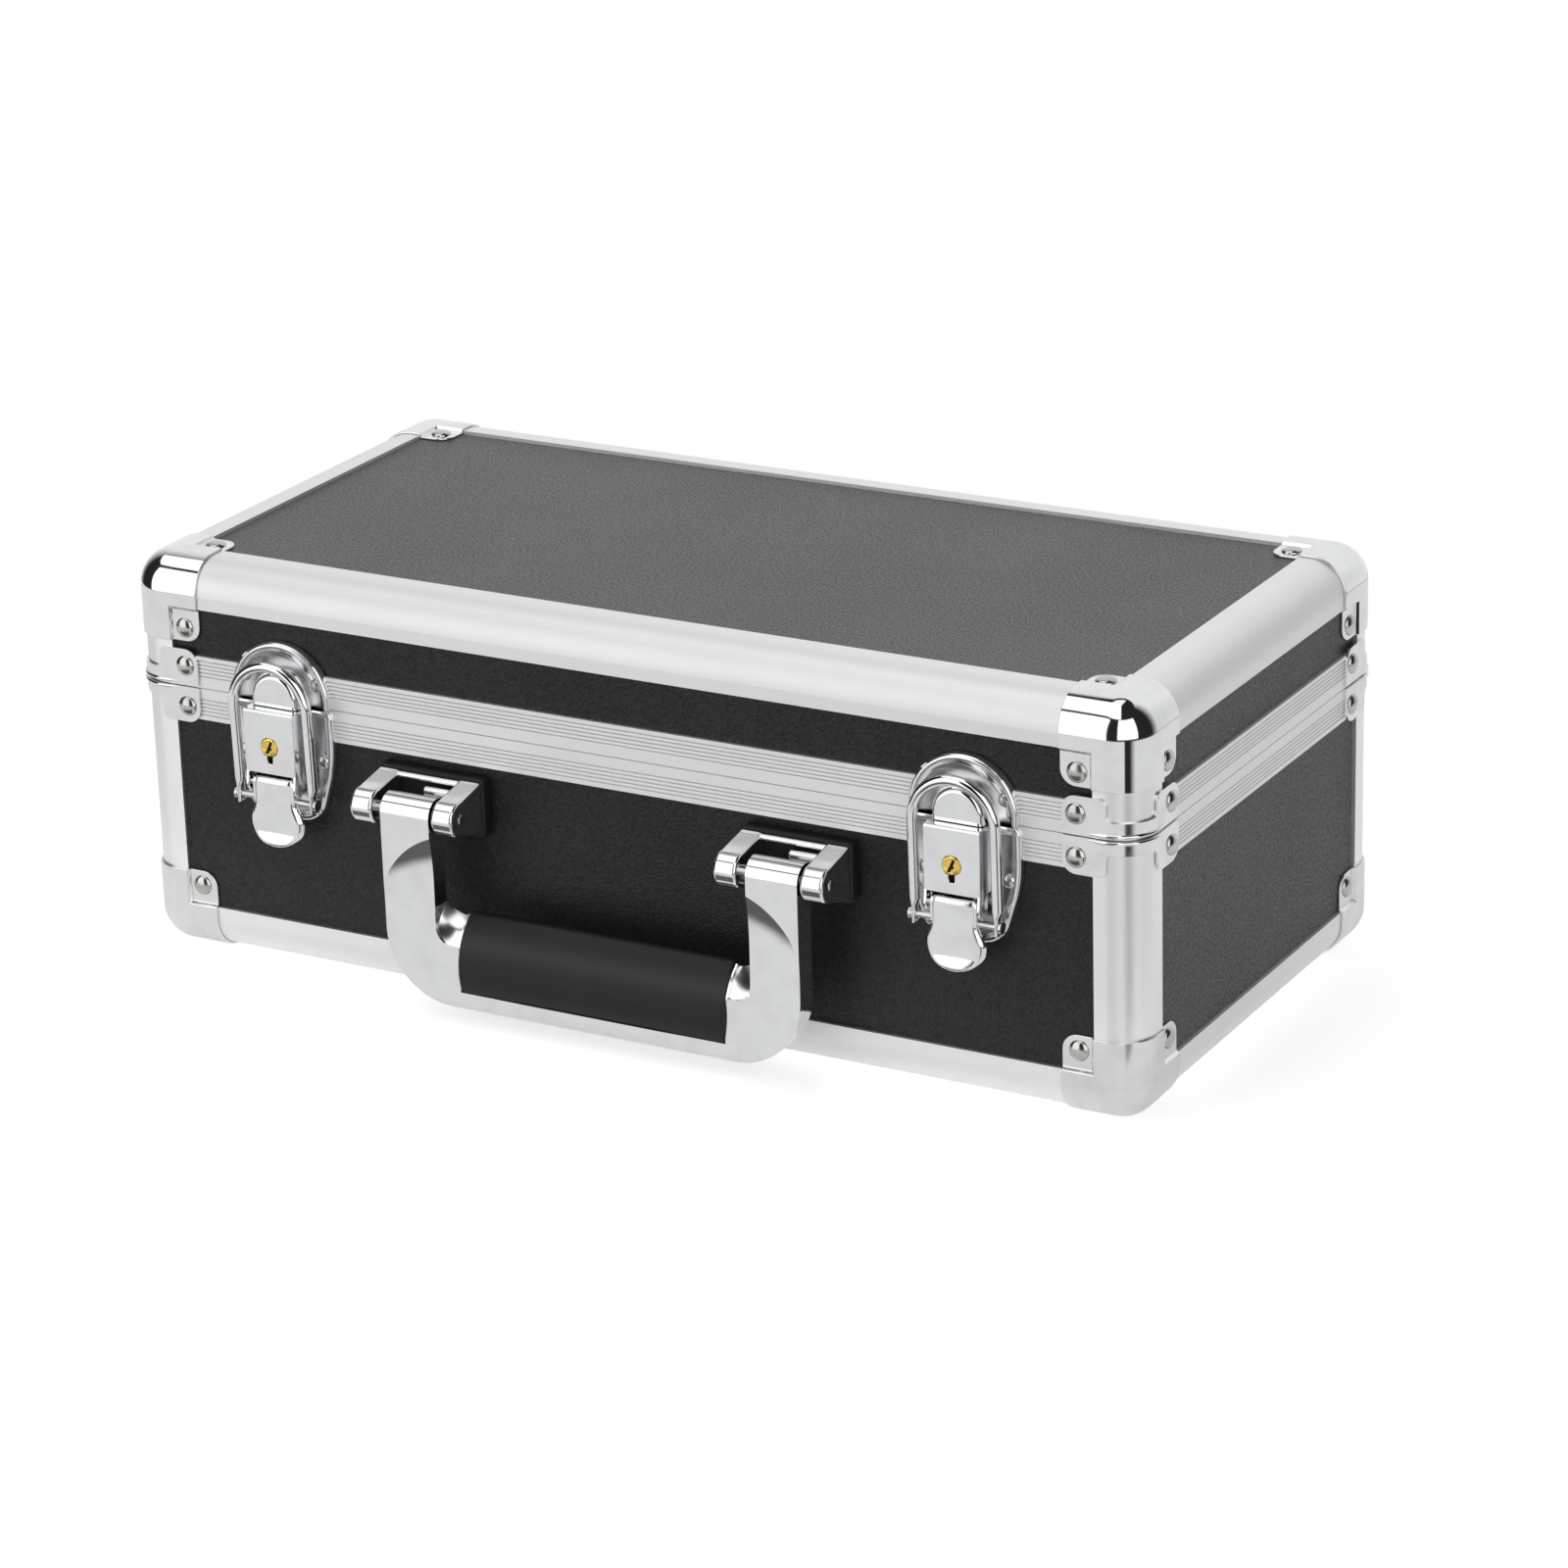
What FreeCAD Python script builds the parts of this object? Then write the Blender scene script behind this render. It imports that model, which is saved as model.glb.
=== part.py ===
import FreeCAD, Part
import math
import os
import re
import Sketcher

# Small carrying case of black laminate boards held in aluminium edge rails, with key-lock draw latches and
# a drop handle. X runs along the case, the latches face -Y, and Z is up from the plane the corner caps stand on.
# Sizes are millimetres, angles are degrees. "reach" is measured out from the front rails' face, "drop" down from
# the seam between lid and base, "rise" up from it or from the rails' underside.

SIZES = {
    # case
    "case_length": 350,
    "case_width": 172,
    "case_height": 130,
    "lid_height": 41,
    "seam_gap": 0.2,
    "board": 4,
    # edge rails and corner posts
    "rail_face": 15,
    "rail_radius": 11,
    "rail_wall": 1.2,
    "slot_land": 2.3,
    "rail_end_inset": 16,
    # rims at the seam
    "rim_height": 10.5,
    "rim_web": 4,
    "rib_start": 3.9,
    "rib_pitch": 1.25,
    "rib_width": 0.7,
    "rib_depth": 0.35,
    "tongue_inset": 2.4,
    "tongue_width": 1.4,
    "tongue_height": 1.6,
    "tongue_clearance": 0.4,
    # linings
    "lining_wall": 2,
    "lining_fit": 0.1,
    "lining_drop": 2,
    # corner fittings
    "fitting_wall": 0.8,
    "fitting_fit": 0.05,
    "fitting_reach": 25.5,
    "ball_drop": 26.3,
    "cap_rise": 26.4,
    "tab_radius": 5,
    "bracket_reach": 24.5,
    "bracket_notch": 10.4,
    "lid_bracket_rise": 12.5,
    "lid_band": 5.5,
    "base_bracket_drop": 11.7,
    "base_band": 4.5,
    # rivets
    "rivet_head_radius": 3.3,
    "rivet_head_height": 1.3,
    "rivet_shank_radius": 1.6,
    "rivet_fit": 0.05,
    "rivet_inset": 20,
    "ball_rivet_drop": 21.7,
    "cap_rivet_rise": 21.6,
    "lid_bracket_rivet_rise": 7,
    "base_bracket_rivet_drop": 6.4,
    # rear hinges
    "hinge_inset": 75,
    "hinge_length": 44,
    "hinge_leaf_wall": 1.2,
    "hinge_leaf_height": 9,
    "hinge_knuckle_radius": 2.9,
    "hinge_axis_gap": 3.3,
    "hinge_pin_radius": 1.4,
    "hinge_play": 0.05,
    "hinge_side_gap": 0.4,
    # latches
    "latch_inset": 56,
    "latch_wall": 1.2,
    "latch_rivet_radius": 2.4,
    "latch_rivet_height": 0.9,
    "plate_half": 18.6,
    "plate_shoulder_drop": 18,
    "plate_tip_half": 12.4,
    "plate_drop": 38,
    "plate_corner": 2.5,
    "plate_tip_corner": 5,
    "plate_rivet_half": 14.6,
    "plate_rivet_drop": 17.3,
    "plate_low_rivet_half": 11.2,
    "plate_low_rivet_drop": 33.2,
    "strike_half": 17.9,
    "strike_straight": 2,
    "strike_rivet_half": 14.4,
    "strike_rivet_rise": 8.8,
    "latch_seam_gap": 0.3,
    "boss_half": 8.55,
    "boss_straight": 2.4,
    "boss_reach": 5.6,
    "boss_round": 1.2,
    "housing_half": 9.2,
    "housing_wall": 1,
    "housing_reach": 9.2,
    "housing_top_drop": 1.7,
    "housing_drop": 21,
    "housing_round": 1.5,
    "cheek_radius": 2.8,
    "lever_pivot_drop": 25,
    "lever_pivot_reach": 7,
    "lever_pin_radius": 1.2,
    "lever_wall": 1,
    "lever_half": 7.6,
    "lever_flare_half": 9.85,
    "lever_waist_drop": 31,
    "lever_flare_drop": 37.5,
    "lever_tip_drop": 45.5,
    "lever_top_rise": 2.7,
    "lever_curl": 2.2,
    "lever_face": 2,
    "lever_lip": 1.8,
    "lever_ear_back": 2.6,
    "bail_pivot_drop": 30,
    "bail_pivot_reach": 6.5,
    "bail_pin_radius": 1.1,
    "bail_pin_head": 1.9,
    "bail_pin_head_wall": 0.8,
    "bail_wire_radius": 1.7,
    "bail_half": 13.5,
    "bail_leg": 30.4,
    "bail_lean": 1.7,
    "bail_eye_radius": 2.6,
    "bail_eye_wall": 1.6,
    "bail_eye_rise": 6,
    "pin_play": 0.06,
    "cylinder_drop": 12.1,
    "cylinder_radius": 3,
    "cylinder_proud": 0.3,
    "cylinder_flange_radius": 3.9,
    "cylinder_flange_wall": 1.4,
    "cylinder_length": 5.5,
    "cylinder_play": 0.05,
    "keyway_width": 1.1,
    "keyway_length": 4.2,
    "keyway_depth": 2,
    "key_notch_width": 1.9,
    "key_notch_drop": 5.9,
    # handle
    "bracket_offset": 63.9,
    "bracket_width": 36.7,
    "ear_width": 7.6,
    "ear_radius": 5.65,
    "ear_top_drop": 14.2,
    "ear_low_drop": 32,
    "bracket_back_wall": 2,
    "stop_width": 11,
    "stop_wall": 2.5,
    "stop_height": 5,
    "pad_reach": 3,
    "pad_margin": 0.6,
    "handle_pivot_reach": 15.2,
    "handle_pivot_drop": 22.2,
    "handle_pin_radius": 1.7,
    "handle_play": 0.06,
    "knuckle_radius": 5.5,
    "arm_width": 17.4,
    "arm_thickness": 8,
    "handle_shift": 1.3,
    "handle_drop": 82.1,
    "handle_lip": 5.1,
    "handle_corner": 23,
    "dish_radius": 25.5,
    "dish_depth": 4,
    "dish_inset": 10.5,
    "dish_rise": 21,
    "grip_half": 46.6,
    "grip_height": 24,
    "grip_reach": 21.9,
    "grip_back_reach": 9.5,
    "grip_round": 20,
    "grip_crown": 7.4,
    "grip_edge": 2.5,
    "grip_fit": 0.1,
    "collar_inset": 0.7,
    "core_reach": 13,
    "core_wall": 3,
    "core_height": 15,
}
RIB_COUNT = 5

# Formulas that several pieces share
HALF_LENGTH = "case_length/2"
HALF_WIDTH = "case_width/2"
UNDERSIDE = "fitting_wall"
TOP = "fitting_wall + case_height"
SEAM = "(fitting_wall + case_height - lid_height)"
PANEL_IN = "(rail_wall + board)"
LIP_IN = "(2*rail_wall + board)"
PANEL_SEAT = "(rail_wall + board + slot_land)"
RIVET_X = "case_length/2 - rivet_inset"
LATCH_X = "(case_length/2 - latch_inset)"
HINGE_X = "(case_length/2 - hinge_inset)"
RIVET_Y = "case_width/2 - rivet_inset"
HANDLE_FACE = "(handle_pivot_reach + knuckle_radius)"
LIP_TOP = "(handle_drop - handle_lip)"
# The whole part is centred on the origin between the grip's front and the hinges' back
HINGE_BACK = "(hinge_axis_gap + hinge_knuckle_radius)"
FRAME_SHIFT = f"(grip_reach - {HINGE_BACK})/2"

WALLS = ("front", "back", "left", "right")
SIDES = {"left": -1, "right": 1}
AXIS_TURNS = {
    "x": FreeCAD.Rotation(FreeCAD.Vector(0, 1, 0), 90),
    "y": FreeCAD.Rotation(FreeCAD.Vector(1, 0, 0), -90),
    "z": FreeCAD.Rotation(),
}

doc = FreeCAD.newDocument("case")
sheet = doc.addObject("Spreadsheet::Sheet", "sizes")
for row, (alias, size) in enumerate(SIZES.items(), start=1):
    sheet.set(f"A{row}", alias)
    sheet.set(f"B{row}", str(size))
    sheet.setAlias(f"B{row}", alias)
doc.recompute()
nodes = []


def formula(text):
    """Point each size named in a formula at its cell."""
    return re.sub(r"[a-z_]+", lambda word: "sizes." + word[0] if word[0] in SIZES else word[0], text)


def number(text):
    """Work a formula out from the sheet."""
    return float(sheet.evalExpression(formula(text)))


def front(reach):
    """Y at a reach out from the front rails' face."""
    return f"(-{HALF_WIDTH} - ({reach}))"


def above(rise):
    """Z at a rise over the seam."""
    return f"({SEAM} + ({rise}))"


def below(drop):
    """Z at a drop under the seam."""
    return f"({SEAM} - ({drop}))"


# Building blocks


def block(x_span, y_span, z_span):
    """Rectangular block between a low and a high formula on each axis."""
    item = doc.addObject("Part::Box", "block")
    for size, axis, (low, high) in zip(("Length", "Width", "Height"), "xyz", (x_span, y_span, z_span)):
        item.setExpression(size, formula(f"({high}) - ({low})"))
        item.setExpression(f"Placement.Base.{axis}", formula(low))
    return item


def rod(axis, radius, span, centre):
    """Round rod along an axis, with its centre on the two other axes in x, y, z order."""
    item = doc.addObject("Part::Cylinder", "rod")
    item.Placement = FreeCAD.Placement(FreeCAD.Vector(), AXIS_TURNS[axis])
    item.setExpression("Radius", formula(radius))
    item.setExpression("Height", formula(f"({span[1]}) - ({span[0]})"))
    others = [name for name in "xyz" if name != axis]
    item.setExpression(f"Placement.Base.{axis}", formula(span[0]))
    for name, place in zip(others, centre):
        item.setExpression(f"Placement.Base.{name}", formula(place))
    return item


def arc_between(start, end, centre):
    """Short arc from start to end about a centre, and whether it is drawn backwards."""
    radius = math.dist(start, centre)
    angles = [math.atan2(point[1] - centre[1], point[0] - centre[0]) for point in (start, end)]
    cross = (start[0] - centre[0]) * (end[1] - centre[1]) - (start[1] - centre[1]) * (end[0] - centre[0])
    backwards = cross < 0
    if backwards:
        angles.reverse()
    circle = Part.Circle(FreeCAD.Vector(*centre, 0), FreeCAD.Vector(0, 0, 1), radius)
    return Part.ArcOfCircle(circle, *angles), backwards


def prism(plane, points, low, high):
    """Solid of one outline on an origin plane, drawn out between two formulas across that plane.

    A point is (u, v), or (u, v, radius, centre u, centre v) where an arc leads to the next point.
    """
    body = doc.addObject("PartDesign::Body", "prism")
    sketch = body.newObject("Sketcher::SketchObject", "outline")
    support = next(item for item in body.Origin.OriginFeatures if item.Role == f"{plane}_Plane")
    sketch.AttachmentSupport = [(support, "")]
    sketch.MapMode = "FlatFace"
    places = [tuple(number(part) for part in point[:2]) for point in points]
    ends = []
    for index, point in enumerate(points):
        start, end = places[index], places[(index + 1) % len(points)]
        backwards = False
        if len(point) > 2:
            shape, backwards = arc_between(start, end, (number(point[3]), number(point[4])))
        else:
            shape = Part.LineSegment(FreeCAD.Vector(*start, 0), FreeCAD.Vector(*end, 0))
        sketch.addGeometry(shape)
        ends.append((2, 1) if backwards else (1, 2))
    for index, point in enumerate(points):
        after = (index + 1) % len(points)
        sketch.addConstraint(Sketcher.Constraint("Coincident", index, ends[index][1], after, ends[after][0]))
        for kind, place, text in zip(("DistanceX", "DistanceY"), places[index], point):
            tie = sketch.addConstraint(Sketcher.Constraint(kind, -1, 1, index, ends[index][0], place))
            sketch.setExpression(f"Constraints[{tie}]", formula(text))
        if len(point) > 2:
            tie = sketch.addConstraint(Sketcher.Constraint("Radius", index, number(point[2])))
            sketch.setExpression(f"Constraints[{tie}]", formula(point[2]))
    # The XZ plane faces -Y, so a span on Y starts at its high end
    offset = f"-({high})" if plane == "XZ" else low
    sketch.setExpression("AttachmentOffset.Base.z", formula(offset))
    pad = body.newObject("PartDesign::Pad", "pad")
    pad.Profile = sketch
    pad.setExpression("Length", formula(f"({high}) - ({low})"))
    return body


def cut(item, *tools):
    """Item with each tool taken away."""
    for tool in tools:
        result = doc.addObject("Part::Cut", "cut")
        result.Base = item
        result.Tool = tool
        item = result
    return item


def fuse(*items):
    """One solid of several that meet."""
    result = doc.addObject("Part::MultiFuse", "fuse")
    result.Shapes = list(items)
    result.Refine = True
    return result


def common(item, tool):
    """What two solids share."""
    result = doc.addObject("Part::Common", "common")
    result.Base = item
    result.Tool = tool
    return result


def group(*items):
    """Separate solids kept together."""
    result = doc.addObject("Part::Compound", "group")
    result.Links = list(items)
    return result


def mirrored(item, normal):
    """Copy of an item on the other side of the case's middle."""
    result = doc.addObject("Part::Mirroring", "mirrored")
    result.Source = item
    result.Normal = FreeCAD.Vector(*normal)
    return result


def four_corners(*items):
    """Items of the front right corner, at all four corners of the case."""
    result = []
    for item in items:
        left = mirrored(item, (1, 0, 0))
        result += [item, left, mirrored(item, (0, 1, 0)), mirrored(left, (0, 1, 0))]
    return result


def bar(x_span, y_span, z_span):
    """Rectangular block as a prism, so that its edges can be rounded."""
    (x_low, x_high), (y_low, y_high) = x_span, y_span
    return prism("XY", [(x_low, y_low), (x_high, y_low), (x_high, y_high), (x_low, y_high)], *z_span)


def rounded(body, radius, chosen):
    """Prism with the edges that chosen() picks rounded."""
    doc.recompute()
    pad = body.Tip
    edges = [f"Edge{index}" for index, edge in enumerate(pad.Shape.Edges, start=1) if chosen(edge)]
    fillet = body.newObject("PartDesign::Fillet", "rounded")
    fillet.Base = (pad, edges)
    fillet.setExpression("Radius", formula(radius))
    return body


def through(place, direction=None):
    """Test for the straight edges that start or end at a place, all of them or those along a direction."""
    spot = FreeCAD.Vector(*(number(part) for part in place))

    def chosen(edge):
        ends = [vertex.Point for vertex in edge.Vertexes]
        if min(point.distanceToPoint(spot) for point in ends) > 1e-3:
            return False
        return direction is None or abs((ends[-1] - ends[0]).normalize().dot(FreeCAD.Vector(*direction))) > 0.99

    return chosen


def node(name, item, at=("0", "0", "0")):
    """Name a finished piece and set it in the part's frame."""
    item.Label = name
    for axis, place in zip("xyz", at):
        shift = f" + {FRAME_SHIFT}" if axis == "y" else ""
        item.setExpression(f"Placement.Base.{axis}", formula(place + shift))
    nodes.append(item)


# Walls: boards, rails and rims


def outward(wall, inset):
    """Coordinate across a wall at an inset from its outer face."""
    half = HALF_WIDTH if wall in ("front", "back") else HALF_LENGTH
    sign = "-" if wall in ("front", "left") else ""
    return f"{sign}({half} - ({inset}))"


def along_half(wall):
    """Half of the case's size along a wall."""
    return HALF_LENGTH if wall in ("front", "back") else HALF_WIDTH


def wall_prism(wall, profile, half):
    """Profile of (inset, z) points drawn out along a wall; an arc's centre is an (inset, z) pair too."""
    plane = "YZ" if wall in ("front", "back") else "XZ"
    points = []
    for point in profile:
        placed = [outward(wall, point[0]), point[1]]
        if len(point) > 2:
            placed += [point[2], outward(wall, point[3]), point[4]]
        points.append(tuple(placed))
    return prism(plane, points, f"-({half})", half)


def wall_hole(wall, along, height):
    """Drill for a rivet through a wall."""
    low, high = sorted((outward(wall, f"-2*{LIP_IN}"), outward(wall, f"2*{LIP_IN}")), key=number)
    axis = "y" if wall in ("front", "back") else "x"
    return rod(axis, "rivet_shank_radius + rivet_fit", (low, high), (along, height))


def corner_holes(wall, heights):
    """Drills for the corner rivets of a wall at given heights, near both its ends."""
    place = RIVET_X if wall in ("front", "back") else RIVET_Y
    return [wall_hole(wall, f"{sign}({place})", height) for height in heights for sign in ("-", "")]


def rail_profile(face, sign):
    """Edge rail section: rounded outer skin and inner lips that grip two boards at a right angle."""
    insets = [
        ("0", "rail_face"),
        ("0", "rail_radius", "rail_radius", "rail_radius", "rail_radius"),
        ("rail_radius", "0"),
        ("rail_face", "0"),
        ("rail_face", "rail_wall"),
        (PANEL_SEAT, "rail_wall"),
        (PANEL_SEAT, PANEL_IN),
        ("rail_face", PANEL_IN),
        ("rail_face", LIP_IN),
        (LIP_IN, LIP_IN),
        (LIP_IN, "rail_face"),
        (PANEL_IN, "rail_face"),
        (PANEL_IN, PANEL_SEAT),
        ("rail_wall", PANEL_SEAT),
        ("rail_wall", "rail_face"),
    ]
    points = []
    for point in insets:
        placed = [point[0], f"{face} {sign} ({point[1]})"]
        if len(point) > 2:
            placed += [point[2], point[3], f"{face} {sign} ({point[4]})"]
        points.append(tuple(placed))
    return points


def rim_profile(place, tongue):
    """Rim section: ribbed outer face, slot for the board's edge, and a tongue or a groove at the seam."""
    half_gap = "seam_gap/2"
    points = [("0", place(half_gap))]
    for index in range(RIB_COUNT):
        middle = f"rib_start + {index}*rib_pitch"
        points.append(("0", place(f"{middle} - rib_width/2")))
        points.append(("rib_depth", place(middle)))
        points.append(("0", place(f"{middle} + rib_width/2")))
    points += [
        ("0", place("rim_height")),
        ("rail_wall", place("rim_height")),
        ("rail_wall", place("rim_web")),
        (PANEL_IN, place("rim_web")),
        (PANEL_IN, place("rim_height")),
        (LIP_IN, place("rim_height")),
        (LIP_IN, place(half_gap)),
    ]
    if tongue == "none":
        return points
    spare = "0" if tongue == "tongue" else "tongue_clearance"
    reach = "-tongue_height" if tongue == "tongue" else "tongue_height + tongue_clearance"
    outer = f"tongue_inset - {spare}"
    inner = f"tongue_inset + tongue_width + {spare}"
    points += [(inner, place(half_gap)), (inner, place(reach)), (outer, place(reach)), (outer, place(half_gap))]
    return points


def board_profile(low, high):
    """Section of a wall's board between two heights."""
    return [("rail_wall", low), ("rail_wall", high), (PANEL_IN, high), (PANEL_IN, low)]


def latch_holes(heights_and_halves):
    """Drills for the latches' rivets in the front wall."""
    drills = []
    for sign in SIDES.values():
        for half, height in heights_and_halves:
            for hand in ("-", "+"):
                drills.append(wall_hole("front", f"{sign}*{LATCH_X} {hand} {half}", height))
    return drills


STRIKE_RIVETS = [("strike_rivet_half", above("strike_rivet_rise"))]
PLATE_RIVETS = [
    ("plate_rivet_half", below("plate_rivet_drop")),
    ("plate_low_rivet_half", below("plate_low_rivet_drop")),
]


def build_walls():
    """Boards, edge rails and rims of the base's and the lid's four walls."""
    lid_heights = [f"{TOP} - ball_rivet_drop", above("lid_bracket_rivet_rise")]
    base_heights = [f"{UNDERSIDE} + cap_rivet_rise", below("base_bracket_rivet_drop")]
    for wall in WALLS:
        half = along_half(wall)
        seat_half = f"{half} - {PANEL_SEAT}"
        rail_half = f"{half} - rail_end_inset"
        rim_half = f"{half} - rail_face"
        lid_drills = corner_holes(wall, lid_heights)
        base_drills = corner_holes(wall, base_heights)
        if wall == "front":
            lid_drills += latch_holes(STRIKE_RIVETS)
            base_drills += latch_holes(PLATE_RIVETS)
        base_board = board_profile(f"{UNDERSIDE} + {PANEL_SEAT}", below("rim_web"))
        lid_board = board_profile(above("rim_web"), f"{TOP} - {PANEL_SEAT}")
        node(f"base_{wall}_panel", cut(wall_prism(wall, base_board, seat_half), *base_drills))
        node(f"lid_{wall}_panel", cut(wall_prism(wall, lid_board, seat_half), *lid_drills))
        node(f"base_edge_{wall}", wall_prism(wall, rail_profile(UNDERSIDE, "+"), rail_half))
        node(f"lid_edge_{wall}", wall_prism(wall, rail_profile(TOP, "-"), rail_half))
        tongue = "none" if wall == "back" else "tongue"
        base_rim = wall_prism(wall, rim_profile(below, tongue), rim_half)
        lid_rim = wall_prism(wall, rim_profile(above, "groove"), rim_half)
        node(f"base_rim_{wall}", cut(base_rim, *corner_holes(wall, base_heights[1:])))
        lid_rim_drills = corner_holes(wall, lid_heights[1:])
        if wall == "front":
            lid_rim_drills += latch_holes(STRIKE_RIVETS)
        node(f"lid_rim_{wall}", cut(lid_rim, *lid_rim_drills))


def flat_board(low, high):
    """Board that lies flat between the edge rails."""
    half_x = f"({HALF_LENGTH} - {PANEL_SEAT})"
    half_y = f"({HALF_WIDTH} - {PANEL_SEAT})"
    corners = [(f"-{half_x}", f"-{half_y}"), (half_x, f"-{half_y}"), (half_x, half_y), (f"-{half_x}", half_y)]
    return prism("XY", corners, low, high)


def build_flat_boards():
    """Top and floor boards."""
    node("floor_panel", flat_board(f"{UNDERSIDE} + rail_wall", f"{UNDERSIDE} + {PANEL_IN}"))
    span = (f"{TOP} - 2*{LIP_IN}", f"{TOP} + {LIP_IN}")
    drill = rod("z", "rivet_shank_radius + rivet_fit", span, (RIVET_X, f"-({RIVET_Y})"))
    node("top_panel", cut(flat_board(f"{TOP} - {PANEL_IN}", f"{TOP} - rail_wall"), *four_corners(drill)))


def corner_post(low, high):
    """Upright rail at the front right corner."""
    points = []
    for point in rail_profile("0", "+"):
        placed = [f"{HALF_LENGTH} - ({point[0]})", f"-{HALF_WIDTH} + ({point[1]})"]
        if len(point) > 2:
            placed += [point[2], f"{HALF_LENGTH} - ({point[3]})", f"-{HALF_WIDTH} + ({point[4]})"]
        points.append(tuple(placed))
    return prism("XY", points, low, high)


def build_posts():
    """Corner posts of the base and the lid."""
    base_post = corner_post(f"{UNDERSIDE} + rail_end_inset", below("seam_gap/2"))
    lid_post = corner_post(above("seam_gap/2"), f"{TOP} - rail_end_inset")
    node("base_corner_posts", group(*four_corners(base_post)))
    node("lid_corner_posts", group(*four_corners(lid_post)))


def build_linings():
    """Thin foam linings, an open tray in the base and another upside down in the lid."""
    outer_x = f"({HALF_LENGTH} - {LIP_IN} - lining_fit)"
    outer_y = f"({HALF_WIDTH} - {LIP_IN} - lining_fit)"
    floor = f"{UNDERSIDE} + {LIP_IN} + lining_fit"
    ceiling = f"{TOP} - {LIP_IN} - lining_fit"
    shells = {
        "base_lining": (floor, below("lining_drop"), f"{floor} + lining_wall", SEAM),
        "lid_lining": (above("lining_drop"), ceiling, SEAM, f"{ceiling} - lining_wall"),
    }
    for name, (low, high, hollow_low, hollow_high) in shells.items():
        outer = block((f"-{outer_x}", outer_x), (f"-{outer_y}", outer_y), (low, high))
        inner_x = f"({outer_x} - lining_wall)"
        inner_y = f"({outer_y} - lining_wall)"
        hollow = block((f"-{inner_x}", inner_x), (f"-{inner_y}", inner_y), (hollow_low, hollow_high))
        node(name, cut(outer, hollow))


# Corner fittings and rivets


def rivet(axis, direction, head_seat, centre, head_radius="rivet_head_radius", head_height="rivet_head_height",
          depth=PANEL_IN):
    """Domed rivet whose head sits at head_seat and points in a direction along its axis."""
    ball = f"(({head_radius})^2 + ({head_height})^2)/(2*({head_height}))"
    dome = doc.addObject("Part::Sphere", "dome")
    turn = FreeCAD.Rotation(FreeCAD.Vector(0, 0, 1), FreeCAD.Vector(*direction))
    dome.Placement = FreeCAD.Placement(FreeCAD.Vector(), turn)
    dome.setExpression("Radius", formula(ball))
    dome.setExpression("Angle1", formula(f"asin(({ball} - {head_height})/({ball}))"))
    sign = sum(direction)
    others = [name for name in "xyz" if name != axis]
    dome.setExpression(f"Placement.Base.{axis}", formula(f"{head_seat} - {sign}*({ball} - {head_height})"))
    for name, place in zip(others, centre):
        dome.setExpression(f"Placement.Base.{name}", formula(place))
    foot = f"{head_seat} - {sign}*({depth})"
    span = (foot, head_seat) if sign > 0 else (head_seat, foot)
    return fuse(dome, rod(axis, "rivet_shank_radius", span, centre))


def far_corner(axis, span, place, inward):
    """Tool that rounds the far corner of a tab; place is the corner and inward the way to the tab's middle."""
    spans = {axis: span}
    centre = []
    for name, corner, sign in zip([name for name in "xyz" if name != axis], place, inward):
        middle = f"{corner} {sign} tab_radius"
        outside = f"{corner} {'-' if sign == '+' else '+'} tab_radius"
        spans[name] = (outside, middle) if sign == "+" else (middle, outside)
        centre.append(middle)
    return cut(block(*(spans[name] for name in "xyz")), rod(axis, "tab_radius", span, centre))


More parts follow.
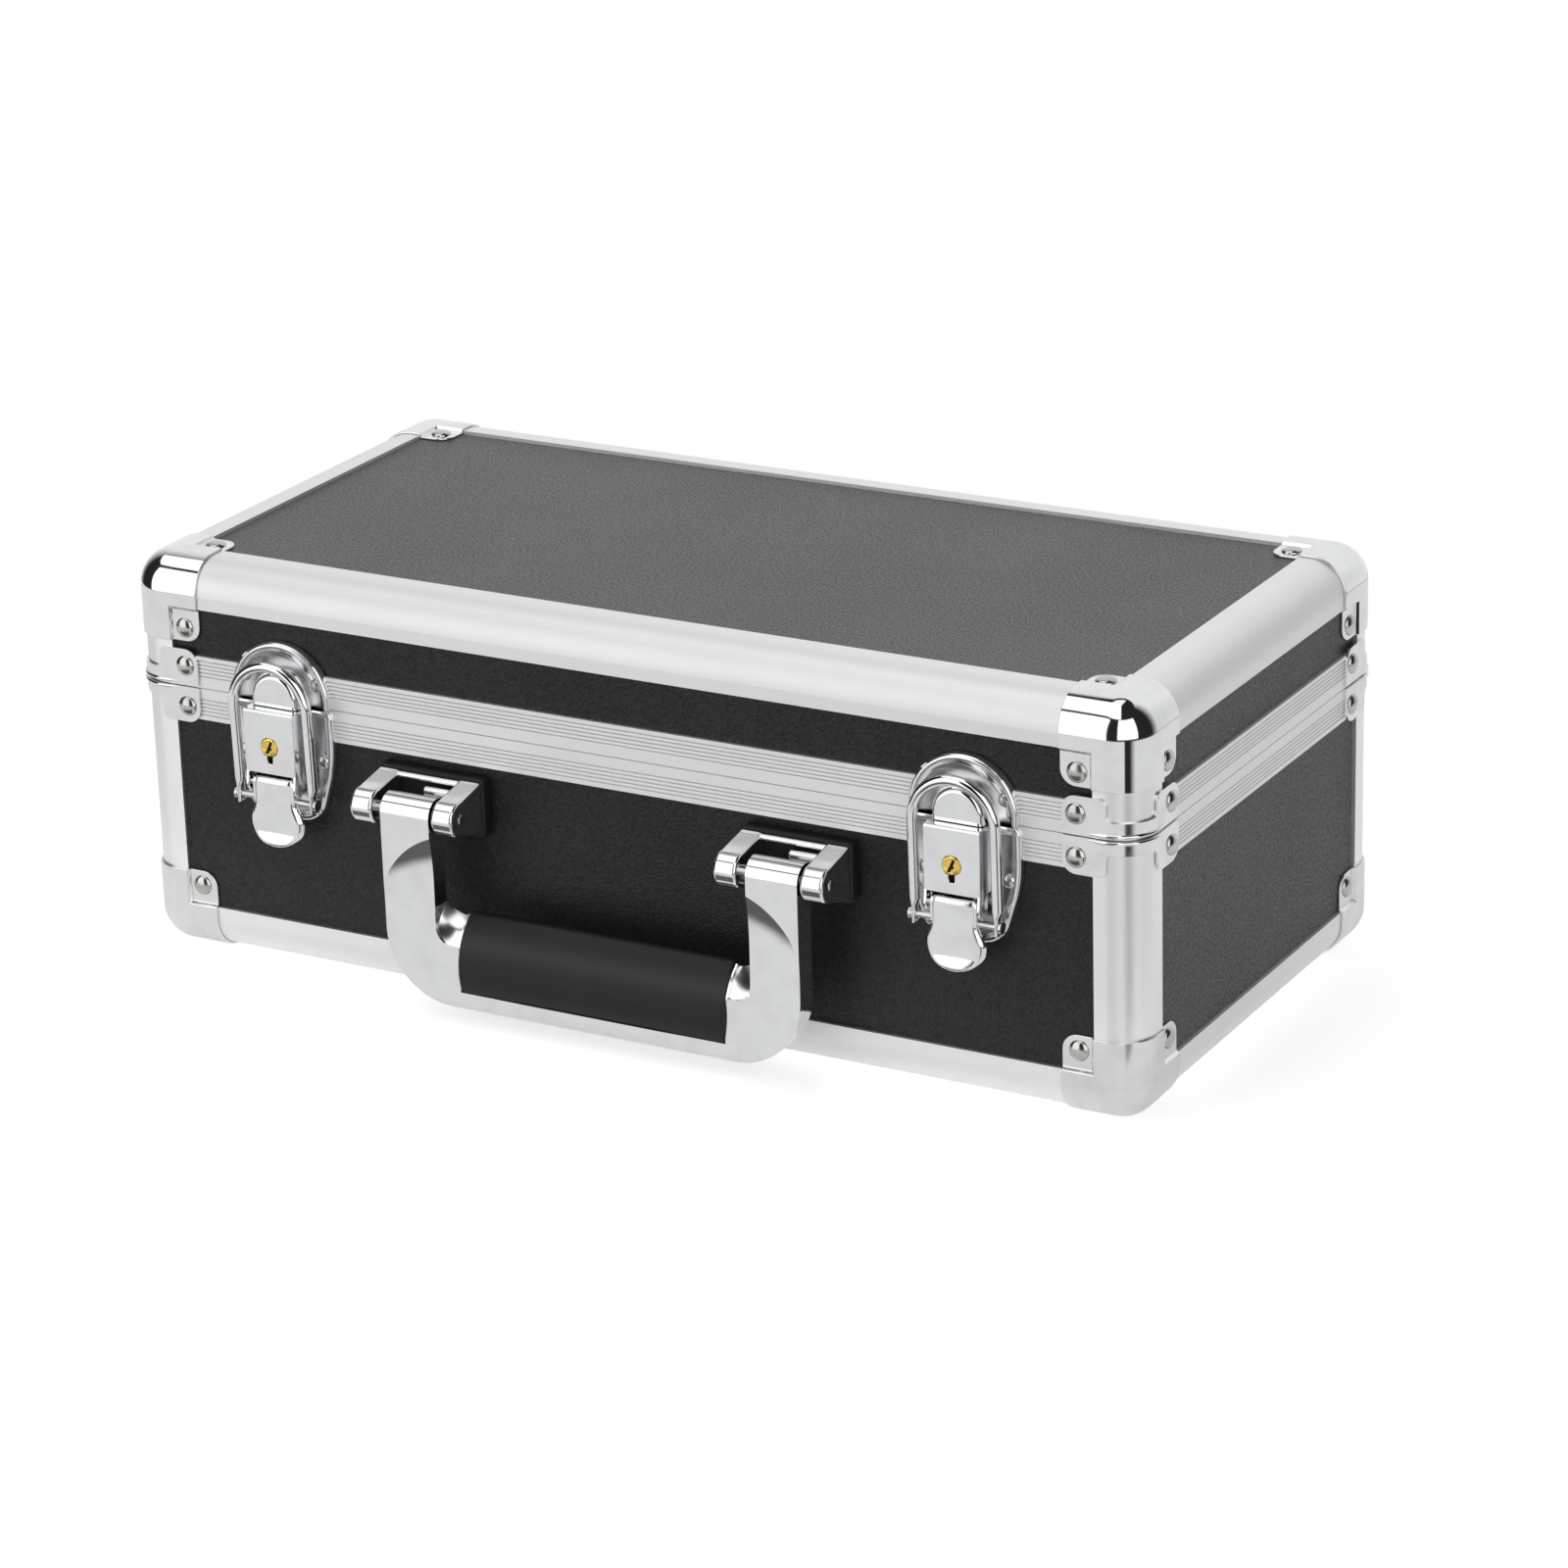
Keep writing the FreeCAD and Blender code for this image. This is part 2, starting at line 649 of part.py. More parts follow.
def corner_shell(face, sign, depth, tabs):
    """Pressed corner fitting over the rails' ends, with tabs that step down onto the boards.

    face is the height of the case's top or underside, sign the way out of it and tabs the faces with a rivet.
    """
    back = "+" if sign == "-" else "-"

    def z_span(inner, outer):
        low, high = f"{face} {back} ({inner})", f"{face} {sign} ({outer})"
        return (low, high) if sign == "+" else (high, low)

    def corner_block(inset, outset, z_inner):
        spans = ((f"{HALF_LENGTH} - ({inset})", f"{HALF_LENGTH} + {outset}"),
                 (f"-{HALF_WIDTH} - {outset}", f"-{HALF_WIDTH} + ({inset})"), z_span(z_inner, outset))
        tip = (f"{HALF_LENGTH} + {outset}", f"-{HALF_WIDTH} - {outset}", f"{face} {sign} {outset}")
        return rounded(bar(*spans), f"rail_radius + {outset}", through(tip))

    outer = corner_block("fitting_reach", "fitting_wall", depth)
    inner = corner_block("2*fitting_reach", "fitting_fit", f"2*({depth})")
    open_end = "2*fitting_reach"
    reach_out = "4*fitting_wall"
    tab_edge = "rail_face + fitting_fit"
    recess_edge = "rail_face + fitting_wall"
    seats = {}
    for kind, edge, level in (("pocket", tab_edge, "rail_wall"), ("recess", recess_edge, "rail_wall - fitting_wall")):
        x_far = (f"{HALF_LENGTH} - {open_end}", f"{HALF_LENGTH} - ({edge})")
        y_far = (f"-{HALF_WIDTH} + {edge}", f"-{HALF_WIDTH} + {open_end}")
        z_far = (f"{face} {back} ({edge})", f"{face} {back} ({open_end})")
        z_far = z_far if sign == "-" else z_far[::-1]
        seats["front", kind] = (x_far, (f"-{HALF_WIDTH} - {reach_out}", f"-{HALF_WIDTH} + {level}"), z_far)
        seats["side", kind] = ((f"{HALF_LENGTH} - ({level})", f"{HALF_LENGTH} + {reach_out}"), y_far, z_far)
        seats["flat", kind] = (x_far, y_far, z_span(level, reach_out))
    inner = cut(inner, *(block(*seats[tab, "pocket"]) for tab in tabs))
    shell = cut(outer, inner, *(block(*seats[tab, "recess"]) for tab in tabs))
    x_end, y_end, z_end = f"{HALF_LENGTH} - fitting_reach", f"-{HALF_WIDTH} + fitting_reach", f"{face} {back} ({depth})"
    skin_x = (f"{HALF_LENGTH} - rail_face/2", f"{HALF_LENGTH} + {reach_out}")
    skin_y = (f"-{HALF_WIDTH} - {reach_out}", f"-{HALF_WIDTH} + rail_face/2")
    rounds = [far_corner("y", skin_y, (x_end, z_end), ("+", sign)),
              far_corner("x", skin_x, (y_end, z_end), ("-", sign)),
              far_corner("z", z_span("rail_face/2", reach_out), (x_end, y_end), ("+", "-"))]
    return cut(shell, *rounds)


def rim_bracket(low, high, band_edge, tab_end, sign):
    """Bracket round the corner at the seam: a band with two tabs, notched where the post shows."""

    def corner_block(inset, outset):
        spans = ((f"{HALF_LENGTH} - ({inset})", f"{HALF_LENGTH} + {outset}"),
                 (f"-{HALF_WIDTH} - {outset}", f"-{HALF_WIDTH} + ({inset})"), (low, high))
        tip = (f"{HALF_LENGTH} + {outset}", f"-{HALF_WIDTH} - {outset}", low)
        return rounded(bar(*spans), f"rail_radius + {outset}", through(tip, (0, 0, 1)))

    shell = cut(corner_block("bracket_reach", "fitting_wall"), corner_block("2*bracket_reach", "fitting_fit"))
    wide = "bracket_notch + rail_face"
    beyond = f"{tab_end} {sign} fitting_wall"
    z_notch = (band_edge, beyond) if sign == "+" else (beyond, band_edge)
    notch = block((f"{HALF_LENGTH} - bracket_notch", f"{HALF_LENGTH} + {wide}"),
                  (f"-{HALF_WIDTH} - ({wide})", f"-{HALF_WIDTH} + bracket_notch"), z_notch)
    x_end, y_end = f"{HALF_LENGTH} - bracket_reach", f"-{HALF_WIDTH} + bracket_reach"
    z_middle = "-" if sign == "+" else "+"
    skin = "4*fitting_wall"
    front_skin = (f"-{HALF_WIDTH} - {skin}", f"-{HALF_WIDTH} + {skin}")
    side_skin = (f"{HALF_LENGTH} - {skin}", f"{HALF_LENGTH} + {skin}")
    return cut(shell, notch, far_corner("y", front_skin, (x_end, tab_end), ("+", z_middle)),
               far_corner("x", side_skin, (y_end, tab_end), ("-", z_middle)))


def fitting_drills(height):
    """Drills through a fitting's front and side tabs."""
    return [wall_hole("front", RIVET_X, height), wall_hole("right", f"-({RIVET_Y})", height)]


def corner_rivets(height, seat, depth):
    """Front and side rivets of a corner fitting; seat is how far their heads' seat stands out of the rails."""
    return [rivet("y", (0, -1, 0), front(seat), (RIVET_X, height), depth=depth),
            rivet("x", (1, 0, 0), f"{HALF_LENGTH} + {seat}", (f"-({RIVET_Y})", height), depth=depth)]


def build_corner_fittings():
    """Ball corners, bottom caps, rim brackets and their rivets."""
    tab_seat = "(fitting_wall - rail_wall)"
    tab_depth = "board + fitting_wall"
    rim_depth = f"{PANEL_IN} + fitting_wall"
    ball_height = f"{TOP} - ball_rivet_drop"
    cap_height = f"{UNDERSIDE} + cap_rivet_rise"
    lid_height = above("lid_bracket_rivet_rise")
    base_height = below("base_bracket_rivet_drop")
    top_span = (f"{TOP} - 2*{LIP_IN}", f"{TOP} + {LIP_IN}")
    top_drill = rod("z", "rivet_shank_radius + rivet_fit", top_span, (RIVET_X, f"-({RIVET_Y})"))
    ball = corner_shell(TOP, "+", "ball_drop", ("front", "side", "flat"))
    cap = corner_shell(UNDERSIDE, "-", "cap_rise", ("front", "side"))
    node("lid_ball_corners", group(*four_corners(cut(ball, top_drill, *fitting_drills(ball_height)))))
    node("base_corner_caps", group(*four_corners(cut(cap, *fitting_drills(cap_height)))))
    lid_end, base_end = above("lid_bracket_rise"), below("base_bracket_drop")
    lid_bracket = rim_bracket(above("seam_gap/2"), lid_end, above("lid_band"), lid_end, "+")
    base_bracket = rim_bracket(base_end, below("seam_gap/2"), below("base_band"), base_end, "-")
    node("lid_rim_brackets", group(*four_corners(cut(lid_bracket, *fitting_drills(lid_height)))))
    node("base_rim_brackets", group(*four_corners(cut(base_bracket, *fitting_drills(base_height)))))
    top_rivet = rivet("z", (0, 0, 1), f"{TOP} + {tab_seat}", (RIVET_X, f"-({RIVET_Y})"), depth=tab_depth)
    lid_set = corner_rivets(ball_height, tab_seat, tab_depth) + [top_rivet]
    lid_set += corner_rivets(lid_height, "fitting_wall", rim_depth)
    base_set = corner_rivets(cap_height, tab_seat, tab_depth)
    base_set += corner_rivets(base_height, "fitting_wall", rim_depth)
    node("lid_rivets", group(*four_corners(*lid_set), *latch_rivets(STRIKE_RIVETS)))
    node("base_rivets", group(*four_corners(*base_set), *latch_rivets(PLATE_RIVETS)))


def latch_rivets(places):
    """Rivets of both latches' plates on the front wall."""
    result = []
    for sign in SIDES.values():
        for half, height in places:
            for hand in ("-", "+"):
                centre = (f"{sign}*{LATCH_X} {hand} {half}", height)
                result.append(rivet("y", (0, -1, 0), front("latch_wall"), centre, "latch_rivet_radius",
                                    "latch_rivet_height", f"latch_wall + {PANEL_IN}"))
    return result


# Rear hinges


def hinge_leaf(sign, place, knuckles):
    """Hinge leaf on a back rim, with knuckles given as shares of the hinge's length."""
    middle = f"{sign}*{HINGE_X}"
    half = "hinge_length/2"
    axis = (f"({HALF_WIDTH} + hinge_axis_gap)", SEAM)
    skin = (HALF_WIDTH, f"{HALF_WIDTH} + hinge_leaf_wall")
    # Between its own knuckles the leaf keeps clear of the other leaf's
    clear = sorted((place("hinge_knuckle_radius + hinge_side_gap"), place("hinge_leaf_height")), key=number)
    parts = [block((f"{middle} - {half}", f"{middle} + {half}"), skin, clear)]
    for low, high in knuckles:
        span = (f"{middle} + ({low})*hinge_length", f"{middle} + ({high})*hinge_length - hinge_side_gap")
        parts.append(rod("x", "hinge_knuckle_radius", span, axis))
        parts.append(block(span, skin, sorted((SEAM, place("hinge_leaf_height")), key=number)))
    reach = (f"{middle} - hinge_length", f"{middle} + hinge_length")
    return cut(fuse(*parts), rod("x", "hinge_pin_radius + hinge_play", reach, axis))


def build_hinges():
    """Two butt hinges across the seam at the back."""
    base_shares = [("-1/2", "-1/6"), ("1/6", "1/2")]
    lid_shares = [("-1/6", "1/6")]
    signs = SIDES.values()
    node("hinge_base_leaves", group(*(hinge_leaf(sign, below, base_shares) for sign in signs)))
    node("hinge_lid_leaves", group(*(hinge_leaf(sign, above, lid_shares) for sign in signs)))
    pins = []
    for sign in signs:
        span = (f"{sign}*{HINGE_X} - hinge_length/2", f"{sign}*{HINGE_X} + hinge_length/2 - hinge_side_gap")
        pins.append(rod("x", "hinge_pin_radius", span, (f"{HALF_WIDTH} + hinge_axis_gap", SEAM)))
    node("hinge_pins", group(*pins))


# Latches


def arch(centre_x, half, low, shoulder):
    """Outline of a round-topped plate standing on low, with its arch springing at shoulder."""
    return [
        (f"{centre_x} + {half}", low),
        (f"{centre_x} + {half}", shoulder, half, centre_x, shoulder),
        (centre_x, f"{shoulder} + {half}", half, centre_x, shoulder),
        (f"{centre_x} - {half}", shoulder),
        (f"{centre_x} - {half}", low),
    ]


def build_strike(side, x):
    """Strike on the lid: a round flange with the boss that the bail hooks over."""
    low = above("latch_seam_gap")
    flange = prism("XZ", arch(x, "strike_half", low, above("strike_straight")), front("latch_wall"), front("-rail_wall"))
    relief = block((f"{x} - 2*strike_half", f"{x} + 2*strike_half"), (front("0"), front("-2*rail_wall")),
                   (below("rim_height"), above("rim_height")))
    boss = prism("XZ", arch(x, "boss_half", low, above("boss_straight")), front("boss_reach"), front("0"))
    boss_face = number(front("boss_reach"))

    def on_arched_face(edge):
        on_face = all(abs(vertex.Point.y - boss_face) < 1e-3 for vertex in edge.Vertexes)
        return on_face and edge.CenterOfMass.z > number(low) + 1e-3

    boss = rounded(boss, "boss_round", on_arched_face)
    drills = [wall_hole("front", f"{x} {hand} strike_rivet_half", above("strike_rivet_rise")) for hand in "+-"]
    node(f"{side}_latch_strike", cut(fuse(cut(flange, relief), boss), *drills))


def build_plate(side, x):
    """Plate on the base: wide at the seam, tapering to its lower rivets."""
    top = below("latch_seam_gap")
    shoulder = below("plate_shoulder_drop")
    tip = below("plate_drop")
    tip_z = f"{tip} + plate_tip_corner"
    corner_z = f"{top} - plate_corner"
    points = []
    for hand in ("+", "-"):
        inner = "-" if hand == "+" else "+"
        edge = f"{x} {hand} plate_half"
        corner_x = f"{edge} {inner} plate_corner"
        tip_edge = f"{x} {hand} plate_tip_half"
        tip_x = f"{tip_edge} {inner} plate_tip_corner"
        run = [
            (tip_x, tip, "plate_tip_corner", tip_x, tip_z),
            (tip_edge, tip_z),
            (edge, shoulder),
            (edge, corner_z, "plate_corner", corner_x, corner_z),
            (corner_x, top),
        ]
        if hand == "-":
            run = [
                (corner_x, top, "plate_corner", corner_x, corner_z),
                (edge, corner_z),
                (edge, shoulder),
                (tip_edge, tip_z, "plate_tip_corner", tip_x, tip_z),
                (tip_x, tip),
            ]
        points += run
    plate = prism("XZ", points, front("latch_wall"), front("-rail_wall"))
    relief = block((f"{x} - 2*plate_half", f"{x} + 2*plate_half"), (front("0"), front("-2*rail_wall")),
                   (below("rim_height"), above("rim_height")))
    drills = [wall_hole("front", f"{x} {hand} {half}", height) for half, height in PLATE_RIVETS for hand in "+-"]
    node(f"{side}_latch_plate", cut(plate, relief, *drills))


def build_housing(side, x):
    """Lock housing: a box open at the back and below, with two cheeks that carry the lever pin."""
    inner_half = "(housing_half - housing_wall)"
    top, low = below("housing_top_drop"), below("housing_drop")
    face = front("housing_reach")
    shell = bar((f"{x} - housing_half", f"{x} + housing_half"), (face, front("latch_wall")), (low, top))
    top_edge = (number(face), number(top))

    def on_top_edge(edge):
        return all(math.dist((vertex.Point.y, vertex.Point.z), top_edge) < 1e-3 for vertex in edge.Vertexes)

    shell = rounded(shell, "housing_round", on_top_edge)
    hollow = block((f"{x} - {inner_half}", f"{x} + {inner_half}"), (f"{face} + housing_wall", front("0")),
                   (f"{low} - housing_wall", f"{top} - housing_wall"))
    pivot_y, pivot_z = front("lever_pivot_reach"), below("lever_pivot_drop")
    cheeks = []
    for hand in ("-1", "1"):
        ends = sorted((f"{x} + {hand}*housing_half", f"{x} + {hand}*{inner_half}"), key=number)
        cheeks.append(rod("x", "cheek_radius", ends, (pivot_y, pivot_z)))
        cheeks.append(block(ends, (f"{pivot_y} - housing_reach + lever_pivot_reach", f"{pivot_y} + cheek_radius"),
                            (pivot_z, f"{low} + housing_wall")))
    pin_hole = rod("x", "lever_pin_radius + rivet_fit", (f"{x} - 2*housing_half", f"{x} + 2*housing_half"),
                   (pivot_y, pivot_z))
    lock_z = below("cylinder_drop")
    front_span = (f"{face} - housing_wall", f"{face} + 2*housing_wall")
    lock_hole = rod("y", "cylinder_radius + cylinder_play", front_span, (x, lock_z))
    notch = block((f"{x} - key_notch_width/2", f"{x} + key_notch_width/2"), front_span,
                  (f"{lock_z} - key_notch_drop", lock_z))
    # The cheeks stay inside the housing's width and in front of its hollow's mouth
    node(f"{side}_lock_housing", cut(fuse(cut(shell, hollow), *cheeks), pin_hole, lock_hole, notch))


def build_cylinder(side, x):
    """Brass lock cylinder with a keyway, held behind the housing's face by a flange."""
    face = front("housing_reach + cylinder_proud")
    wall_back = front("housing_reach - housing_wall - cylinder_play")
    centre = (x, below("cylinder_drop"))
    barrel = rod("y", "cylinder_radius", (face, f"{face} + cylinder_length"), centre)
    flange = rod("y", "cylinder_flange_radius", (wall_back, f"{wall_back} + cylinder_flange_wall"), centre)
    keyway = block((f"{x} - keyway_width/2", f"{x} + keyway_width/2"), (f"{face} - keyway_depth", f"{face} + keyway_depth"),
                   (f"{centre[1]} - keyway_length/2", f"{centre[1]} + keyway_length/2"))
    node(f"{side}_lock_cylinder", cut(fuse(barrel, flange), keyway))


def lever_side_profile():
    """Lever's sheet seen from the side: curled top, straight face and a lip bent forward at the thumb end."""
    pivot_z = below("lever_pivot_drop")
    face = front("lever_pivot_reach + lever_face")
    inner = f"{face} + lever_wall"
    curl_y = f"{face} + lever_curl"
    top = f"{pivot_z} + lever_top_rise"
    curl_z = f"{top} - lever_curl"
    bend_z = below("lever_flare_drop")
    tip_z = below("lever_tip_drop")
    return [
        (curl_y, top, "lever_curl", curl_y, curl_z),
        (face, curl_z),
        (face, bend_z),
        (f"{face} - lever_lip", tip_z),
        (f"{face} - lever_lip + lever_wall", tip_z),
        (inner, bend_z),
        (inner, curl_z, "lever_curl - lever_wall", curl_y, curl_z),
        (curl_y, f"{top} - lever_wall"),
    ]


def lever_front_outline(x):
    """Lever seen from the front: straight sides, a flare and a round thumb end."""
    pivot_z = below("lever_pivot_drop")
    top = f"{pivot_z} + 2*lever_top_rise"
    waist, flare = below("lever_waist_drop"), below("lever_flare_drop")
    tip = below("lever_tip_drop")
    depth = "(lever_tip_drop - lever_flare_drop)"
    bow = f"((lever_flare_half^2 + {depth}^2)/(2*{depth}))"
    bow_z = f"{tip} + {bow}"
    return [
        (f"{x} + lever_half", top),
        (f"{x} - lever_half", top),
        (f"{x} - lever_half", waist),
        (f"{x} - lever_flare_half", flare, bow, x, bow_z),
        (x, tip, bow, x, bow_z),
        (f"{x} + lever_flare_half", flare),
        (f"{x} + lever_half", waist),
    ]


def build_lever(side, x):
    """Pressed lever: a bent sheet with two ears that run on the lever pin and carry the bail pin."""
    wide = "2*lever_flare_half"
    face = front("lever_pivot_reach + lever_face")
    sheet_bent = prism("YZ", lever_side_profile(), f"{x} - {wide}", f"{x} + {wide}")
    outline = prism("XZ", lever_front_outline(x), front("4*housing_reach"), front("0"))
    pivot_y, pivot_z = front("lever_pivot_reach"), below("lever_pivot_drop")
    bail_y, bail_z = front("bail_pivot_reach"), below("bail_pivot_drop")
    ears = []
    for hand in ("-1", "1"):
        ends = sorted((f"{x} + {hand}*lever_half", f"{x} + {hand}*(lever_half - lever_wall)"), key=number)
        ears.append(rod("x", "lever_ear_back", ends, (pivot_y, pivot_z)))
        ears.append(rod("x", "lever_ear_back", ends, (bail_y, bail_z)))
        ears.append(block(ends, (f"{face} + lever_wall/2", f"{bail_y} + lever_ear_back"), (bail_z, pivot_z)))
    reach = (f"{x} - {wide}", f"{x} + {wide}")
    bores = [rod("x", "lever_pin_radius + pin_play", reach, (pivot_y, pivot_z)),
             rod("x", "bail_pin_radius + pin_play", reach, (bail_y, bail_z))]
    node(f"{side}_latch_lever", cut(fuse(common(sheet_bent, outline), *ears), *bores))


def build_bail(side, x):
    """Wire bail, upright about its own pivot and then leant forward clear of the boss."""
    arch_ring = doc.addObject("Part::Torus", "arch")
    arch_ring.Placement = FreeCAD.Placement(FreeCAD.Vector(), AXIS_TURNS["y"].inverted())
    arch_ring.Angle3 = 180
    arch_ring.setExpression("Radius1", formula("bail_half"))
    arch_ring.setExpression("Radius2", formula("bail_wire_radius"))
    arch_ring.setExpression("Placement.Base.z", formula("bail_leg"))
    parts = [arch_ring]
    for hand in ("-1", "1"):
        middle = f"{hand}*bail_half"
        eye = (f"{middle} - bail_eye_wall/2", f"{middle} + bail_eye_wall/2")
        parts.append(rod("z", "bail_wire_radius", ("bail_eye_rise", "bail_leg"), (middle, "0")))
        parts.append(rod("x", "bail_eye_radius", eye, ("0", "0")))
        parts.append(block(eye, ("-bail_wire_radius", "bail_wire_radius"), ("0", "bail_eye_rise + bail_wire_radius")))
    bore = rod("x", "bail_pin_radius + pin_play", ("-2*bail_half", "2*bail_half"), ("0", "0"))
    bail = cut(fuse(*parts), bore)
    bail.Placement = FreeCAD.Placement(FreeCAD.Vector(), FreeCAD.Rotation(FreeCAD.Vector(1, 0, 0), number("bail_lean")))
    bail.setExpression("Placement.Rotation.Angle", formula("bail_lean * 1 deg"))
    node(f"{side}_latch_bail", bail, (x, front("bail_pivot_reach"), below("bail_pivot_drop")))


def build_bail_pin(side, x):
    """Cross pin through the lever's ears, headed outside the bail's eyes."""
    reach = "(bail_half + bail_eye_wall/2 + pin_play)"
    centre = (front("bail_pivot_reach"), below("bail_pivot_drop"))
    ends = [rod("x", "bail_pin_radius", (f"{x} - {reach} - bail_pin_head_wall", f"{x} + {reach} + bail_pin_head_wall"),
                centre)]
    for hand in ("-1", "1"):
        span = sorted((f"{x} + {hand}*{reach}", f"{x} + {hand}*({reach} + bail_pin_head_wall)"), key=number)
        ends.append(rod("x", "bail_pin_head", span, centre))
    node(f"{side}_bail_pin", fuse(*ends))


def build_latches():
    """Both draw latches."""
    lever_pins = []
    for side, sign in SIDES.items():
        x = f"{sign}*{LATCH_X}"
        build_strike(side, x)
        build_plate(side, x)
        build_housing(side, x)
        build_cylinder(side, x)
        build_lever(side, x)
        build_bail(side, x)
        build_bail_pin(side, x)
        span = (f"{x} - housing_half", f"{x} + housing_half")
        lever_pins.append(rod("x", "lever_pin_radius", span, (front("lever_pivot_reach"), below("lever_pivot_drop"))))
    node("latch_lever_pins", group(*lever_pins))


# Handle


def build_handle_bracket(side, x):
    """Clevis bracket: two rounded ears and a back wall with a stop block."""
    pivot_y, pivot_z = front("handle_pivot_reach"), below("handle_pivot_drop")
    ear_profile = [
        (front("pad_reach"), below("ear_low_drop")),
        (front("pad_reach"), below("ear_top_drop")),
        (pivot_y, f"{pivot_z} + ear_radius", "ear_radius", pivot_y, pivot_z),
        (f"{pivot_y} - ear_radius", pivot_z, "ear_radius", pivot_y, pivot_z),
        (pivot_y, f"{pivot_z} - ear_radius"),
    ]
    half = "(bracket_width/2)"
    ears = [prism("YZ", ear_profile, f"{x} - {half}", f"{x} - {half} + ear_width"),
            prism("YZ", ear_profile, f"{x} + {half} - ear_width", f"{x} + {half}")]
    back_y = (front("pad_reach + bracket_back_wall"), front("pad_reach"))
    back = block((f"{x} - {half}", f"{x} + {half}"), back_y, (below("ear_low_drop"), below("ear_top_drop")))
    stop_x = (f"{x} + {half} - ear_width - stop_width", f"{x} + {half} - ear_width/2")
    stop = block(stop_x, (front("pad_reach + bracket_back_wall + stop_wall"), front("pad_reach")),
                 (below("ear_top_drop + 1.5*stop_height"), below("ear_top_drop + 0.5*stop_height")))
    hole = rod("x", "handle_pin_radius + rivet_fit", (f"{x} - bracket_width", f"{x} + bracket_width"),
               (pivot_y, pivot_z))
    node(f"{side}_handle_bracket", cut(fuse(*ears, back, stop), hole))


def grip_profile(inset):
    """Half-round section of the grip, drawn in by an inset."""
    lip = below(LIP_TOP)
    crown_y = front("grip_reach - grip_round")
    crown_z = f"{lip} + grip_crown"
    round_in = f"(grip_round - {inset})"
    low_y = f"{crown_y} - sqrt({round_in}^2 - grip_crown^2)"
    top = f"{lip} + grip_height - {inset}"
    top_y = f"{crown_y} - sqrt({round_in}^2 - (grip_height - {inset} - grip_crown)^2)"
    back_y = front(f"grip_back_reach + {inset}")
    return [
        (low_y, lip, round_in, crown_y, crown_z),
        (f"{crown_y} - {round_in}", crown_z, round_in, crown_y, crown_z),
        (top_y, top),
        (f"{back_y} - grip_edge", top, "grip_edge", f"{back_y} - grip_edge", f"{top} - grip_edge"),
        (back_y, f"{top} - grip_edge"),
        (back_y, lip),
    ]


def handle_outline():
    """Handle frame from the front: two arms, large lower corners and a low bar between them."""
    outer = "(bracket_offset + arm_width/2)"
    inner = "(bracket_offset - arm_width/2)"
    top, low = below("handle_pivot_drop"), below("handle_drop")
    corner_z = f"{low} + handle_corner"
    left, right = "handle_shift - ", "handle_shift + "
    corner_in = f"({outer} - handle_corner)"
    return [
        (left + outer, top),
        (left + outer, corner_z, "handle_corner", left + corner_in, corner_z),
        (left + corner_in, low),
        (right + corner_in, low, "handle_corner", right + corner_in, corner_z),
        (right + outer, corner_z),
        (right + outer, top),
        (right + inner, top),
        (right + inner, below(LIP_TOP)),
        (left + inner, below(LIP_TOP)),
        (left + inner, top),
    ]


def build_handle():
    """Drop handle: die-cast frame with knuckles, dished arms and collars, and the grip on its core."""
    pivot_y, pivot_z = front("handle_pivot_reach"), below("handle_pivot_drop")
    face = front(HANDLE_FACE)
    frame = prism("XZ", handle_outline(), face, f"{face} + arm_thickness")
    inner = "(bracket_offset - arm_width/2)"
    outer = "(bracket_offset + arm_width/2)"
    dish_ball = "((dish_radius^2 + dish_depth^2)/(2*dish_depth))"
    parts, dishes, bores = [], [], []
    for sign in SIDES.values():
        ends = sorted((f"handle_shift + {sign}*{inner}", f"handle_shift + {sign}*{outer}"), key=number)
        parts.append(rod("x", "knuckle_radius", ends, (pivot_y, pivot_z)))
        bores.append(rod("x", "handle_pin_radius + handle_play", ends, (pivot_y, pivot_z)))
        collar = sorted((f"handle_shift + {sign}*grip_half", f"handle_shift + {sign}*({inner} + collar_inset)"),
                        key=number)
        parts.append(prism("YZ", grip_profile("collar_inset"), *collar))
        dish = doc.addObject("Part::Sphere", "dish")
        dish.setExpression("Radius", formula(dish_ball))
        dish.setExpression("Placement.Base.x", formula(f"handle_shift + {sign}*({inner} - dish_inset)"))
        dish.setExpression("Placement.Base.y", formula(f"{face} + dish_depth - {dish_ball}"))
        dish.setExpression("Placement.Base.z", formula(f"{below(LIP_TOP)} + dish_rise"))
        dishes.append(dish)
    grip_span = ("handle_shift - grip_half", "handle_shift + grip_half")
    core_z = (below(f"{LIP_TOP} + handle_lip/2"), f"{below(LIP_TOP)} + core_height")
    core = block(grip_span, (front("core_reach + core_wall"), front("core_reach")), core_z)
    node("handle_frame", cut(fuse(cut(frame, *dishes), *parts, core), *bores))
    grip_in = ("handle_shift - grip_half + grip_fit", "handle_shift + grip_half - grip_fit")
    slot = block(grip_span, (front("core_reach + core_wall + grip_fit"), front("core_reach - grip_fit")),
                 (below("handle_drop"), f"{core_z[1]} + grip_fit"))
    node("handle_grip", cut(prism("YZ", grip_profile("0"), *grip_in), slot))


